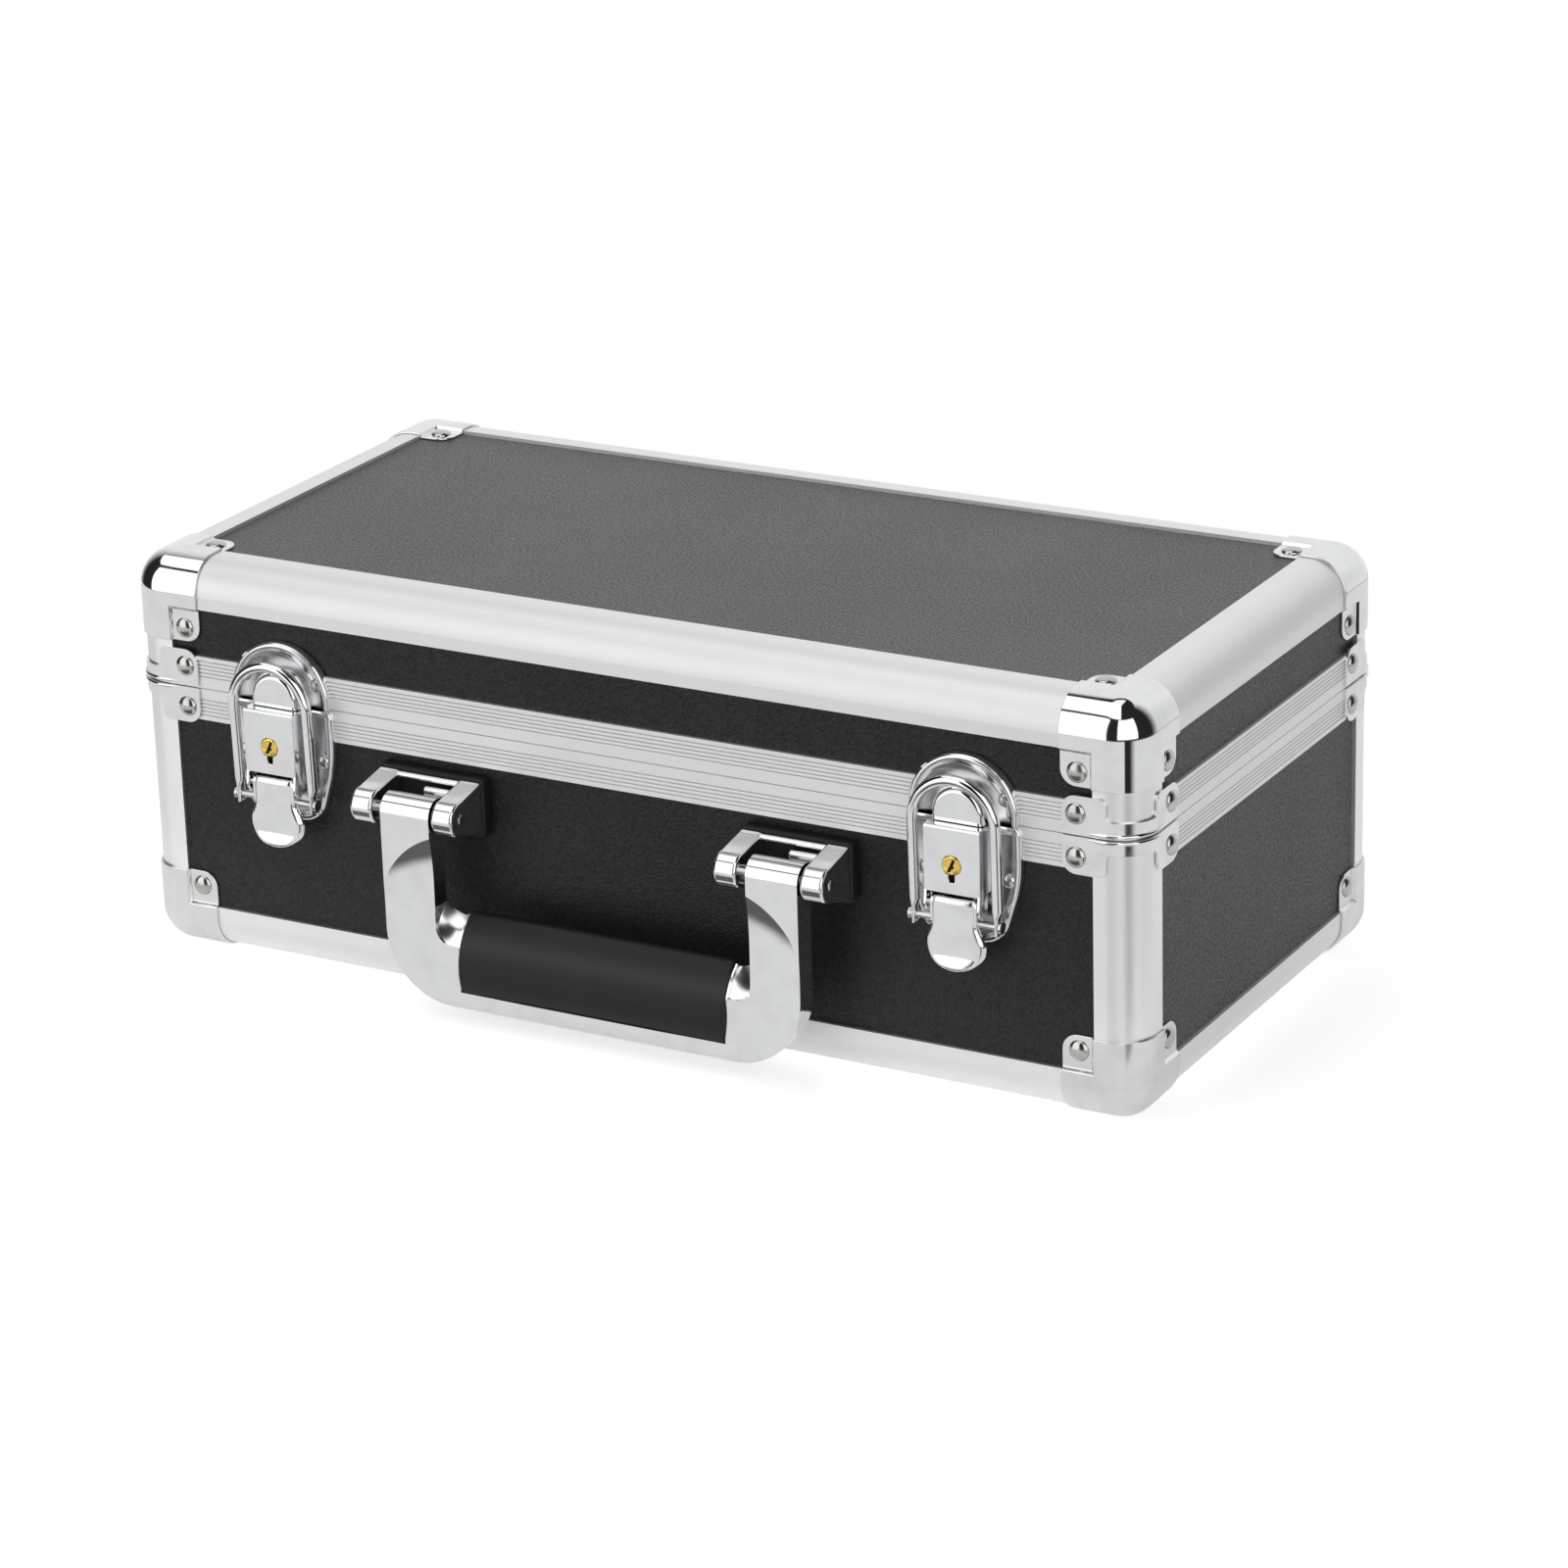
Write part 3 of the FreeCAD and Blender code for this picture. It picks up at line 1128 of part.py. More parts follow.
def build_handle_parts():
    """Brackets, pads, pins and the swinging handle."""
    pads, pins = [], []
    for side, sign in SIDES.items():
        x = f"{sign}*bracket_offset"
        build_handle_bracket(side, x)
        half = "bracket_width/2"
        pads.append(block((f"{x} - {half} - pad_margin", f"{x} + {half} + pad_margin"),
                          (front("pad_reach"), front("-rail_wall")),
                          (below("ear_low_drop + pad_margin"), below("ear_top_drop - pad_margin"))))
        pins.append(rod("x", "handle_pin_radius", (f"{x} - {half}", f"{x} + {half}"),
                        (front("handle_pivot_reach"), below("handle_pivot_drop"))))
    node("handle_pads", group(*pads))
    node("handle_pins", group(*pins))
    build_handle()


def check_and_export():
    """Check every object and write each piece to its own file."""
    doc.recompute()
    failed = [item.Label for item in doc.Objects if {"Invalid", "Error"} & set(item.State)]
    for item in nodes:
        if item.Shape.isNull() or not item.Shape.isValid() or not item.Shape.Solids:
            failed.append(item.Label)
    if failed:
        raise RuntimeError("failed: " + ", ".join(failed))
    os.makedirs("parts", exist_ok=True)
    for item in nodes:
        item.Shape.exportStep(f"parts/{item.Label}.step")
        print(item.Label, len(item.Shape.Solids), round(item.Shape.Volume, 1))


build_walls()
build_flat_boards()
build_posts()
build_linings()
build_corner_fittings()
build_hinges()
build_latches()
build_handle_parts()
check_and_export()
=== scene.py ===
"""Art supply box: black boards in aluminium rails, chrome corners, two draw latches and a drop handle.

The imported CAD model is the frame. The classes below dress it, or stand finer pieces in its nodes' places.
Lengths in the classes are millimetres in the case's own frame: X along the length, -Y to the front, +Z up.
"""

import logging
import math
from collections.abc import Callable, Iterable, Sequence
from dataclasses import dataclass
from enum import Enum
from typing import Any, Union

import bmesh
import bpy
from mathutils import Matrix, Vector


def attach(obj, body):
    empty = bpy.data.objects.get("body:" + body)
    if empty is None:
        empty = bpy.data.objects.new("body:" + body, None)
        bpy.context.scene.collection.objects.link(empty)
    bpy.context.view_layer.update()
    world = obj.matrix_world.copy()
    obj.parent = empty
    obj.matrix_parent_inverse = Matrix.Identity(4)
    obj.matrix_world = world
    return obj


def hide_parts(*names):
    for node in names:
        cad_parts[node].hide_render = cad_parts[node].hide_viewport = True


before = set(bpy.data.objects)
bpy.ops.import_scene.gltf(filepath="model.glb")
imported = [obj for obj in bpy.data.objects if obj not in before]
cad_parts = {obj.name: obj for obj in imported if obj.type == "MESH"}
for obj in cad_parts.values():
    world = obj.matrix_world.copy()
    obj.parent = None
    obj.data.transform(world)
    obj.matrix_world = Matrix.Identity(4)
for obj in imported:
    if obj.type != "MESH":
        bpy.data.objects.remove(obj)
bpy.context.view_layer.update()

LOG = logging.getLogger("art_supply_box")
MM = 0.001
NEAR = 1e-3

# Planes of the case, in millimetres
FRONT, MIDDLE_Y = -78.15, 7.85
SIDE = 175.0
UNDERSIDE, SEAM, TOP = 0.8, 89.8, 130.8

Number = Union[int, float]
Point = tuple[float, float, float]
Pair = tuple[float, float]
Term = Union["Value", Number]


class Axis(Enum):
    """Direction along which a metal section was drawn or brushed."""

    X = 0
    Y = 1
    Z = 2


class Value:
    """Output socket of a shader node that takes part in Python arithmetic."""

    def __init__(self, sheet: "NodeSheet", socket: bpy.types.NodeSocket) -> None:
        """Holds a socket and the sheet that its node lies on."""
        self.sheet = sheet
        self.socket = socket

    def _math(self, operation: str, first: Term, second: Term) -> "Value":
        """Adds a Math node for an expression.

        Args:
            operation: name of the Math node's operation.
            first: first operand.
            second: second operand.

        Returns:
            The node's value.
        """
        return self.sheet.node("ShaderNodeMath", {"operation": operation}, {0: first, 1: second})

    def __add__(self, other: Term) -> "Value":
        """Sum of two values."""
        return self._math("ADD", self, other)

    def __radd__(self, other: Term) -> "Value":
        """Sum with a number on the left."""
        return self._math("ADD", other, self)

    def __sub__(self, other: Term) -> "Value":
        """Difference of two values."""
        return self._math("SUBTRACT", self, other)

    def __rsub__(self, other: Term) -> "Value":
        """Difference with a number on the left."""
        return self._math("SUBTRACT", other, self)

    def __mul__(self, other: Term) -> "Value":
        """Product of two values."""
        return self._math("MULTIPLY", self, other)

    def __rmul__(self, other: Term) -> "Value":
        """Product with a number on the left."""
        return self._math("MULTIPLY", other, self)

    def __truediv__(self, other: Term) -> "Value":
        """Quotient of two values."""
        return self._math("DIVIDE", self, other)

    def __rtruediv__(self, other: Term) -> "Value":
        """Quotient with a number on the left."""
        return self._math("DIVIDE", other, self)

    def greatest(self, other: Term) -> "Value":
        """The larger of two values."""
        return self._math("MAXIMUM", self, other)

    def size(self) -> "Value":
        """The value without its sign."""
        return self._math("ABSOLUTE", self, 0.0)

    def wave(self, pitch: float) -> "Value":
        """Distance to the nearest multiple of a pitch."""
        return self._math("PINGPONG", self, pitch / 2)

    def between(self, low: float, high: float, blur: float) -> "Value":
        """1 between two limits and 0 outside, with a blurred edge."""
        return self.step(low - blur, low + blur) * (1.0 - self.step(high - blur, high + blur))

    def step(self, low: float, high: float) -> "Value":
        """Smooth rise from 0 at low to 1 at high."""
        return self.sheet.node("ShaderNodeMapRange", {"interpolation_type": "SMOOTHSTEP"},
                               {"Value": self, "From Min": low, "From Max": high})


class NodeSheet:
    """Node tree of a material or of the world, cleared and ready for new nodes."""

    def __init__(self, owner: Union[bpy.types.Material, bpy.types.World]) -> None:
        """Clears the owner's nodes.

        Args:
            owner: the material or world.
        """
        owner.use_nodes = True
        self.tree = owner.node_tree
        self.tree.nodes.clear()

    def node(self, kind: str, settings: dict[str, Any], sockets: dict[Union[str, int], Any],
             output: Union[str, int] = 0) -> Value:
        """Makes one node.

        Args:
            kind: type of the node.
            settings: properties of the node, set first.
            sockets: values or links of its inputs, by name or number.
            output: name or number of the output that is given back.

        Returns:
            The chosen output as a value.
        """
        made = self.tree.nodes.new(kind)
        for name, setting in settings.items():
            setattr(made, name, setting)
        for key, given in sockets.items():
            if isinstance(given, Value):
                self.tree.links.new(given.socket, made.inputs[key])
            else:
                made.inputs[key].default_value = given
        return Value(self, made.outputs[output] if made.outputs else None)

    def place(self) -> Value:
        """Object coordinates of the surface, in metres."""
        return self.node("ShaderNodeTexCoord", {}, {}, "Object")

    def along(self, axis: Axis) -> Value:
        """One of the object coordinates, in millimetres."""
        return self.node("ShaderNodeSeparateXYZ", {}, {0: self.place()}, axis.name) / MM

    def stretched(self, scale: Point) -> Value:
        """Object coordinates scaled along each axis."""
        return self.node("ShaderNodeMapping", {"vector_type": "POINT"},
                         {"Vector": self.place(), "Scale": scale})

    def noise(self, vector: Value, scale: float, detail: float = 2.0, roughness: float = 0.5) -> Value:
        """Noise between 0 and 1."""
        return self.node("ShaderNodeTexNoise", {}, {"Vector": vector, "Scale": scale, "Detail": detail,
                                                    "Roughness": roughness}, 0)

    def cells(self, vector: Value, scale: float, feature: str = "SMOOTH_F1",
              smoothness: float = 0.6) -> Value:
        """Distance to the nearest point of a cell pattern.

        Args:
            vector: coordinates of the pattern.
            scale: cells per metre.
            feature: F1, or SMOOTH_F1 for rounded cells.
            smoothness: how round smooth cells are.

        Returns:
            The distance.
        """
        sockets = {"Vector": vector, "Scale": scale}
        if feature == "SMOOTH_F1":
            sockets["Smoothness"] = smoothness
        return self.node("ShaderNodeTexVoronoi", {"feature": feature}, sockets, "Distance")

    def blend(self, factor: Term, first: Any, second: Any) -> Value:
        """Mix of two colours.

        Args:
            factor: share of the second colour.
            first: first colour.
            second: second colour.

        Returns:
            The mixed colour.
        """
        return self.node("ShaderNodeMix", {"data_type": "RGBA"}, {0: factor, 6: first, 7: second}, 2)

    def bump(self, height: Value, distance: float, strength: float = 1.0) -> Value:
        """Normal tilted by a height map, with distance in metres."""
        return self.node("ShaderNodeBump", {}, {"Height": height, "Distance": distance, "Strength": strength})

    def principled(self, **sockets: Any) -> Value:
        """Principled shader whose sockets are named with underscores for spaces."""
        named = {key.replace("_", " "): given for key, given in sockets.items()}
        return self.node("ShaderNodeBsdfPrincipled", {}, named)

    def close(self, shader: Value) -> None:
        """Links a shader to a material's output."""
        self.node("ShaderNodeOutputMaterial", {}, {"Surface": shader})


def grey(level: float) -> tuple[float, float, float, float]:
    """Neutral colour of a linear level."""
    return (level, level, level, 1.0)


@dataclass(frozen=True)
class Finish:
    """Finish of a surface; each kind lays out its own nodes."""

    name: str

    def lay(self, sheet: NodeSheet) -> Value:
        """Makes the nodes and gives the shader."""
        raise NotImplementedError

    def material(self) -> bpy.types.Material:
        """Material of this finish, made once.

        Returns:
            The material.
        """
        found = bpy.data.materials.get(self.name)
        if found:
            return found
        made = bpy.data.materials.new(self.name)
        sheet = NodeSheet(made)
        sheet.close(self.lay(sheet))
        return made


@dataclass(frozen=True)
class Laminate(Finish):
    """Black sheet with an embossed pebble grain; its patterns are counted per metre."""

    pebble: float = 1600.0
    warp: float = 400.0
    pore: float = 3600.0
    speck: float = 1150.0
    cloud: float = 18.0
    depth: float = 0.0002
    dark: float = 0.001
    pale: float = 0.017
    gloss: float = 0.22
    mirror: float = 0.38

    def lay(self, sheet: NodeSheet) -> Value:
        """Pebbles in height and sheen, with fine specks and faint cloudy wear.

        Args:
            sheet: sheet that gets the nodes.

        Returns:
            The shader.
        """
        place = sheet.place()
        warp = sheet.noise(place, self.warp, 2.0)
        pebbles = sheet.cells(place, self.pebble)
        grain = pebbles * 0.9 + warp * 0.12
        fine = sheet.noise(place, self.pore, 1.0)
        cloud = sheet.noise(place, self.cloud, 3.0)
        speck = sheet.noise(place, self.speck, 2.0, 0.7).step(0.38, 0.64)
        tone = grain.step(0.25, 0.85) * 0.15 + speck * 0.7 + cloud.step(0.3, 0.8) * 0.15
        colour = sheet.blend(tone, grey(self.pale), grey(self.dark))
        rough = self.gloss + pebbles * 0.12 + speck * 0.17 + cloud * 0.05
        normal = sheet.bump(1.0 - grain + fine * 0.3, self.depth, 0.9)
        return sheet.principled(Base_Color=colour, Roughness=rough, Normal=normal,
                                Specular_IOR_Level=self.mirror)


@dataclass(frozen=True)
class DrawnMetal(Finish):
    """Metal with fine lines along one axis, such as an anodised section."""

    axis: Axis = Axis.X
    colour: tuple[float, float, float, float] = (0.96, 0.96, 0.963, 1.0)
    shade: tuple[float, float, float, float] = (0.92, 0.92, 0.925, 1.0)
    rough: float = 0.5
    lines: float = 0.000008
    grooves: tuple[float, float, int] = (3.9, 1.25, 0)
    stretch: float = 0.012
    fine: float = 2400.0
    broad: float = 260.0
    spot: float = 60.0
    painted_groove_shade: float = 0.25

    def lay(self, sheet: NodeSheet) -> Value:
        """Lines drawn out along the axis, in colour, gloss and height, and painted shade in the grooves beside
        the seam.

        Args:
            sheet: sheet that gets the nodes.

        Returns:
            The shader.
        """
        scale = [1.0, 1.0, 1.0]
        scale[self.axis.value] = self.stretch
        along = sheet.stretched(tuple(scale))
        line = sheet.noise(along, self.fine, 2.0, 0.7)
        broad = sheet.noise(along, self.broad, 2.0)
        spots = sheet.noise(sheet.place(), self.spot, 3.0)
        colour = sheet.blend(line * 0.6 + broad * 0.4, self.shade, self.colour)
        start, pitch, count = self.grooves
        # Painted shade: the grooves beside the seam are darkened in colour, standing in for the shade inside
        # them.
        if count:
            away = (sheet.along(Axis.Z) - SEAM).size() - start
            band = away.between(-0.4, pitch * (count - 1) + 0.4, 0.05)
            painted_groove_mask = (1.0 - away.wave(pitch).step(0.08, 0.34)) * band
            colour = sheet.blend(painted_groove_mask * 0.45, colour, grey(self.painted_groove_shade))
        rough = self.rough - 0.05 + line * 0.07 + spots * 0.05
        normal = sheet.bump(line, self.lines, 0.6)
        return sheet.principled(Base_Color=colour, Metallic=1.0, Roughness=rough, Normal=normal)


@dataclass(frozen=True)
class PlatedMetal(Finish):
    """Plated pressing: bright, faintly wavy and lightly handled."""

    colour: tuple[float, float, float, float] = (0.84, 0.85, 0.86, 1.0)
    shade: tuple[float, float, float, float] = (0.79, 0.795, 0.805, 1.0)
    rough: float = 0.06
    wave: float = 0.00006
    swell: float = 55.0
    haze: float = 130.0
    polish: float = 1500.0

    def lay(self, sheet: NodeSheet) -> Value:
        """Slow waves of the pressing, fine polish marks and handling haze.

        Args:
            sheet: sheet that gets the nodes.

        Returns:
            The shader.
        """
        place = sheet.place()
        wave = sheet.noise(place, self.swell, 1.0)
        haze = sheet.noise(place, self.haze, 3.0)
        polish = sheet.noise(place, self.polish, 2.0)
        colour = sheet.blend(haze.step(0.35, 0.75), self.colour, self.shade)
        rough = self.rough * 0.8 + haze.step(0.4, 0.8) * self.rough * 0.7 + polish * 0.02
        normal = sheet.bump(wave + polish * 0.01, self.wave, 0.5)
        return sheet.principled(Base_Color=colour, Metallic=1.0, Roughness=rough, Normal=normal)


@dataclass(frozen=True)
class Rubber(Finish):
    """Black moulded rubber with a fine matt texture."""

    level: float = 0.012
    rough: float = 0.46
    # Heights in millimetres of a painted highlight band; none when the second is 0.
    painted_highlight_band: Pair = (0.0, 0.0)
    grain: float = 2200.0
    wear: float = 70.0
    depth: float = 0.00003
    mirror: float = 0.4

    def lay(self, sheet: NodeSheet) -> Value:
        """Fine moulded grain and faint wear, with a painted highlight: a paler band at the given heights.

        Args:
            sheet: sheet that gets the nodes.

        Returns:
            The shader.
        """
        place = sheet.place()
        grain = sheet.noise(place, self.grain, 2.0)
        worn = sheet.noise(place, self.wear, 3.0)
        colour = sheet.blend(worn.step(0.35, 0.8), grey(self.level), grey(self.level * 1.7))
        # Painted highlight: a paler band across the given heights, mottled by the wear noise.
        if self.painted_highlight_band[1]:
            band = sheet.along(Axis.Z).between(*self.painted_highlight_band, 3.0)
            colour = sheet.blend(band * (0.6 + worn * 0.6), colour, grey(self.level * 5.0))
        rough = self.rough + grain * 0.08 + worn * 0.06
        normal = sheet.bump(grain, self.depth, 0.6)
        return sheet.principled(Base_Color=colour, Roughness=rough, Normal=normal,
                                Specular_IOR_Level=self.mirror)


@dataclass(frozen=True)
class Foam(Finish):
    """Charcoal foam sheet with a fleecy face."""

    level: float = 0.035
    cell: float = 1100.0
    nap: float = 420.0
    depth: float = 0.0003
    sheen: float = 0.15

    def lay(self, sheet: NodeSheet) -> Value:
        """Small open cells and a soft nap.

        Args:
            sheet: sheet that gets the nodes.

        Returns:
            The shader.
        """
        place = sheet.place()
        cells = sheet.cells(place, self.cell, "F1")
        nap = sheet.noise(place, self.nap, 4.0)
        share = cells.step(0.1, 0.6) * 0.7 + nap * 0.3
        colour = sheet.blend(share, grey(self.level * 0.55), grey(self.level * 1.5))
        normal = sheet.bump(cells + nap * 0.6, self.depth, 0.8)
        return sheet.principled(Base_Color=colour, Roughness=0.86 + nap * 0.1, Normal=normal,
                                Sheen_Weight=self.sheen)


LAMINATE = Laminate("black_pebble_laminate")
# The end and top boards get paler copies of the front's laminate: painted light, for the light that falls on
# them more than on the front.
LAMINATE_END_PAINTED_LIGHT = Laminate("end_laminate_painted_light", dark=0.016, pale=0.072)
LAMINATE_TOP_PAINTED_LIGHT = Laminate("top_laminate_painted_light", dark=0.036, pale=0.122)
RAIL_X = DrawnMetal("anodised_rail_along_x", Axis.X)
RAIL_Y = DrawnMetal("anodised_rail_along_y", Axis.Y)
# The posts' section is a paler copy of the rails' aluminium: painted light that brightens the posts.
RAIL_Z = DrawnMetal("anodised_rail_along_z", Axis.Z, (0.99, 0.99, 0.992, 1.0), (0.96, 0.96, 0.963, 1.0), 0.36)
# The rims carry painted shade in five grooves beside the seam.
RIM_X = DrawnMetal("ribbed_rim_along_x", Axis.X, grooves=(3.9, 1.25, 5))
RIM_Y = DrawnMetal("ribbed_rim_along_y", Axis.Y, grooves=(3.9, 1.25, 5))
CHROME = PlatedMetal("bright_chrome")
SATIN = PlatedMetal("satin_chrome", (0.84, 0.84, 0.85, 1.0), (0.78, 0.78, 0.79, 1.0), 0.19)
NICKEL = PlatedMetal("rivet_nickel", (0.60, 0.585, 0.56, 1.0), (0.50, 0.49, 0.47, 1.0), 0.19)
BRASS = PlatedMetal("lock_brass", (0.88, 0.64, 0.17, 1.0), (0.78, 0.52, 0.10, 1.0), 0.16)
LEVER = PlatedMetal("lever_chrome", rough=0.12)
STEEL = PlatedMetal("polished_steel", (0.62, 0.62, 0.63, 1.0), (0.54, 0.54, 0.55, 1.0), 0.2)
# The grip has a painted highlight band from 27 to 32 mm up.
GRIP = Rubber("moulded_grip", 0.006, 0.42, (27.0, 32.0))
# Black rubber that fills the lock's shaded hollows: painted shade.
PAINTED_SHADE_RUBBER = Rubber("lock_shadow", 0.004, 0.6)
PAD = Rubber("moulded_pad", 0.006, 0.5)
FOAM = Foam("charcoal_foam")


class Form:
    """Mesh under construction, in millimetres."""

    def __init__(self) -> None:
        """Starts with nothing."""
        self.bm = bmesh.new()

    def outline(self, points: Iterable[Point]) -> bmesh.types.BMFace:
        """Flat face through a few points."""
        return self.bm.faces.new([self.bm.verts.new(point) for point in points])

    def box(self, low: Point, high: Point) -> list[bmesh.types.BMVert]:
        """Box between two corners.

        Args:
            low: its lowest corner.
            high: its highest corner.

        Returns:
            The box's vertices.
        """
        made = bmesh.ops.create_cube(self.bm, size=1.0)["verts"]
        size = [b - a for a, b in zip(low, high)]
        bmesh.ops.scale(self.bm, vec=size, verts=made)
        bmesh.ops.translate(self.bm, vec=[(a + b) / 2 for a, b in zip(low, high)], verts=made)
        return made

    def rod(self, axis: Axis, radius: float, low: float, high: float, centre: Pair,
            sides: int = 48) -> list[bmesh.types.BMVert]:
        """Round bar along an axis.

        Args:
            axis: direction of the bar.
            radius: its radius.
            low: start along the axis.
            high: end along the axis.
            centre: place in the other two axes, in their order.
            sides: number of sides.

        Returns:
            The bar's vertices.
        """
        made = bmesh.ops.create_cone(self.bm, cap_ends=True, segments=sides, radius1=radius,
                                     radius2=radius, depth=high - low)["verts"]
        self.turn_to(axis, made)
        place = list(centre)
        place.insert(axis.value, (low + high) / 2)
        bmesh.ops.translate(self.bm, vec=place, verts=made)
        return made

    def turn_to(self, axis: Axis, verts: list[bmesh.types.BMVert]) -> None:
        """Turns a shape made along Z to lie along an axis.

        Args:
            axis: the axis.
            verts: the shape's vertices.
        """
        if axis is Axis.X:
            turn = Matrix.Rotation(math.pi / 2, 3, "Y")
        elif axis is Axis.Y:
            turn = Matrix.Rotation(math.pi / 2, 3, "X")
        else:
            return
        bmesh.ops.rotate(self.bm, cent=(0, 0, 0), matrix=turn, verts=verts)

    def dome(self, seat: Point, way: Point, radius: float, height: float, skirt: float = 0.3) -> None:
        """Low round head that stands on a seat.

        Args:
            seat: middle of the head's flat side.
            way: direction in which it bulges.
            radius: its radius.
            height: its height.
            skirt: how far its edge goes on behind the seat.
        """
        made = bmesh.ops.create_uvsphere(self.bm, u_segments=24, v_segments=16, radius=1.0)["verts"]
        bmesh.ops.scale(self.bm, vec=(radius, radius, height), verts=made)
        below = [vert for vert in made if vert.co.z < -1e-4]
        bmesh.ops.delete(self.bm, geom=below, context="VERTS")
        head = [vert for vert in made if vert.is_valid]
        rim = dict.fromkeys(edge for vert in head for edge in vert.link_edges if edge.is_boundary)
        low, foot = self.pull(list(rim), (0, 0, -skirt))
        bmesh.ops.holes_fill(self.bm, edges=foot, sides=0)
        closed = dict.fromkeys(face for vert in head + low for face in vert.link_faces)
        bmesh.ops.recalc_face_normals(self.bm, faces=list(closed))
        turn = Vector((0, 0, 1)).rotation_difference(Vector(way)).to_matrix()
        bmesh.ops.rotate(self.bm, cent=(0, 0, 0), matrix=turn, verts=head + low)
        bmesh.ops.translate(self.bm, vec=seat, verts=head + low)

    def extrude(self, faces: Iterable[bmesh.types.BMFace], way: Point) -> list[bmesh.types.BMFace]:
        """Pulls faces out into a solid.

        Args:
            faces: faces to pull.
            way: the pull.

        Returns:
            The faces at the far end.
        """
        start = list(faces)
        made = bmesh.ops.extrude_face_region(self.bm, geom=start)["geom"]
        moved = [item for item in made if isinstance(item, bmesh.types.BMVert)]
        bmesh.ops.translate(self.bm, vec=way, verts=moved)
        inside = [one for one in start if all(len(edge.link_faces) > 2 for edge in one.edges)]
        bmesh.ops.delete(self.bm, geom=inside, context="FACES_ONLY")
        return [item for item in made if isinstance(item, bmesh.types.BMFace)]

    def pull(self, edges: list[bmesh.types.BMEdge],
             way: Point) -> tuple[list[bmesh.types.BMVert], list[bmesh.types.BMEdge]]:
        """Pulls edges out into a wall.

        Args:
            edges: edges to pull.
            way: the pull.

        Returns:
            The vertices and edges at the far end.
        """
        made = bmesh.ops.extrude_edge_only(self.bm, edges=edges)["geom"]
        verts = [item for item in made if isinstance(item, bmesh.types.BMVert)]
        bmesh.ops.translate(self.bm, vec=way, verts=verts)
        return verts, [item for item in made if isinstance(item, bmesh.types.BMEdge)
                       and all(vert in verts for vert in item.verts)]

    def arc(self, start: Sequence[float], centre: Sequence[float], axis: Point, angle: float,
            steps: int) -> list[bmesh.types.BMVert]:
        """Row of vertices along an arc of at most half a turn.

        Args:
            start: where it starts.
            centre: its centre.
            axis: axis that it turns about.
            angle: how far it turns, in radians.
            steps: number of its edges.

        Returns:
            Its vertices in order.
        """
        first = self.bm.verts.new(start)
        before = set(self.bm.verts)
        bmesh.ops.spin(self.bm, geom=[first], cent=centre, axis=axis, angle=angle, steps=steps)
        made = set(self.bm.verts) - before
        return [first] + sorted(made, key=lambda vert: (vert.co - first.co).length)

    def near(self, points: Iterable[Point]) -> list[bmesh.types.BMVert]:
        """Vertices nearest to some points."""
        return [min(self.bm.verts, key=lambda vert: (vert.co - Vector(point)).length_squared)
                for point in points]

    def round_points(self, points: Iterable[Point], radius: float, steps: int = 8) -> None:
        """Rounds an outline's corners."""
        bmesh.ops.bevel(self.bm, geom=self.near(points), offset=radius, offset_type="OFFSET",
                        affect="VERTICES", segments=steps, profile=0.5, material=-1, clamp_overlap=True)

    def round_edges(self, chosen: Callable[[bmesh.types.BMEdge], bool], radius: float,
                    steps: int = 4) -> None:
        """Rounds the chosen edges.

        Args:
            chosen: says whether an edge is rounded.
            radius: how far the rounding goes from the edge.
            steps: number of faces across it.
        """
        edges = [edge for edge in self.bm.edges if chosen(edge)]
        bmesh.ops.bevel(self.bm, geom=edges, offset=radius, offset_type="OFFSET", affect="EDGES",
                        segments=steps, profile=0.5, material=-1, clamp_overlap=True)

    def slice(self, axis: Axis, places: Iterable[float]) -> None:
        """Cuts new edges across the whole form.

        Args:
            axis: axis that the cuts stand across.
            places: their places along it.
        """
        normal = [0.0, 0.0, 0.0]
        normal[axis.value] = 1.0
        for place in places:
            point = [0.0, 0.0, 0.0]
            point[axis.value] = place
            geom = self.bm.verts[:] + self.bm.edges[:] + self.bm.faces[:]
            bmesh.ops.bisect_plane(self.bm, geom=geom, dist=1e-4, plane_co=point, plane_no=normal)

    def drop(self, chosen: Callable[[bmesh.types.BMFace], bool]) -> None:
        """Deletes the chosen faces."""
        bmesh.ops.delete(self.bm, geom=[face for face in self.bm.faces if chosen(face)], context="FACES")

    def move(self, shift: Callable[[Vector], Vector]) -> None:
        """Moves every vertex to where a rule puts it."""
        for vert in self.bm.verts:
            vert.co = shift(vert.co)

    def copy_across(self, axis: Axis, about: float) -> None:
        """Adds a mirror image of everything across a plane.

        Args:
            axis: axis that the plane stands across.
            about: its place along it.
        """
        whole = self.bm.verts[:] + self.bm.edges[:] + self.bm.faces[:]
        made = bmesh.ops.duplicate(self.bm, geom=whole)["geom"]
        verts = [item for item in made if isinstance(item, bmesh.types.BMVert)]
        scale, centre = [1.0, 1.0, 1.0], [0.0, 0.0, 0.0]
        scale[axis.value], centre[axis.value] = -1.0, -about
        bmesh.ops.scale(self.bm, vec=scale, space=Matrix.Translation(centre), verts=verts)
        faces = [item for item in made if isinstance(item, bmesh.types.BMFace)]
        bmesh.ops.reverse_faces(self.bm, faces=faces)

    def four_corners(self) -> None:
        """Repeats a front right corner's fitting at the other three corners."""
        self.copy_across(Axis.X, 0.0)
        self.copy_across(Axis.Y, MIDDLE_Y)

    def tidy(self, outward: bool = True) -> None:
        """Merges doubled vertices.

        Args:
            outward: whether the faces are then turned outwards, as a closed form's are.
        """
        bmesh.ops.remove_doubles(self.bm, verts=self.bm.verts[:], dist=1e-3)
        if outward:
            bmesh.ops.recalc_face_normals(self.bm, faces=self.bm.faces[:])

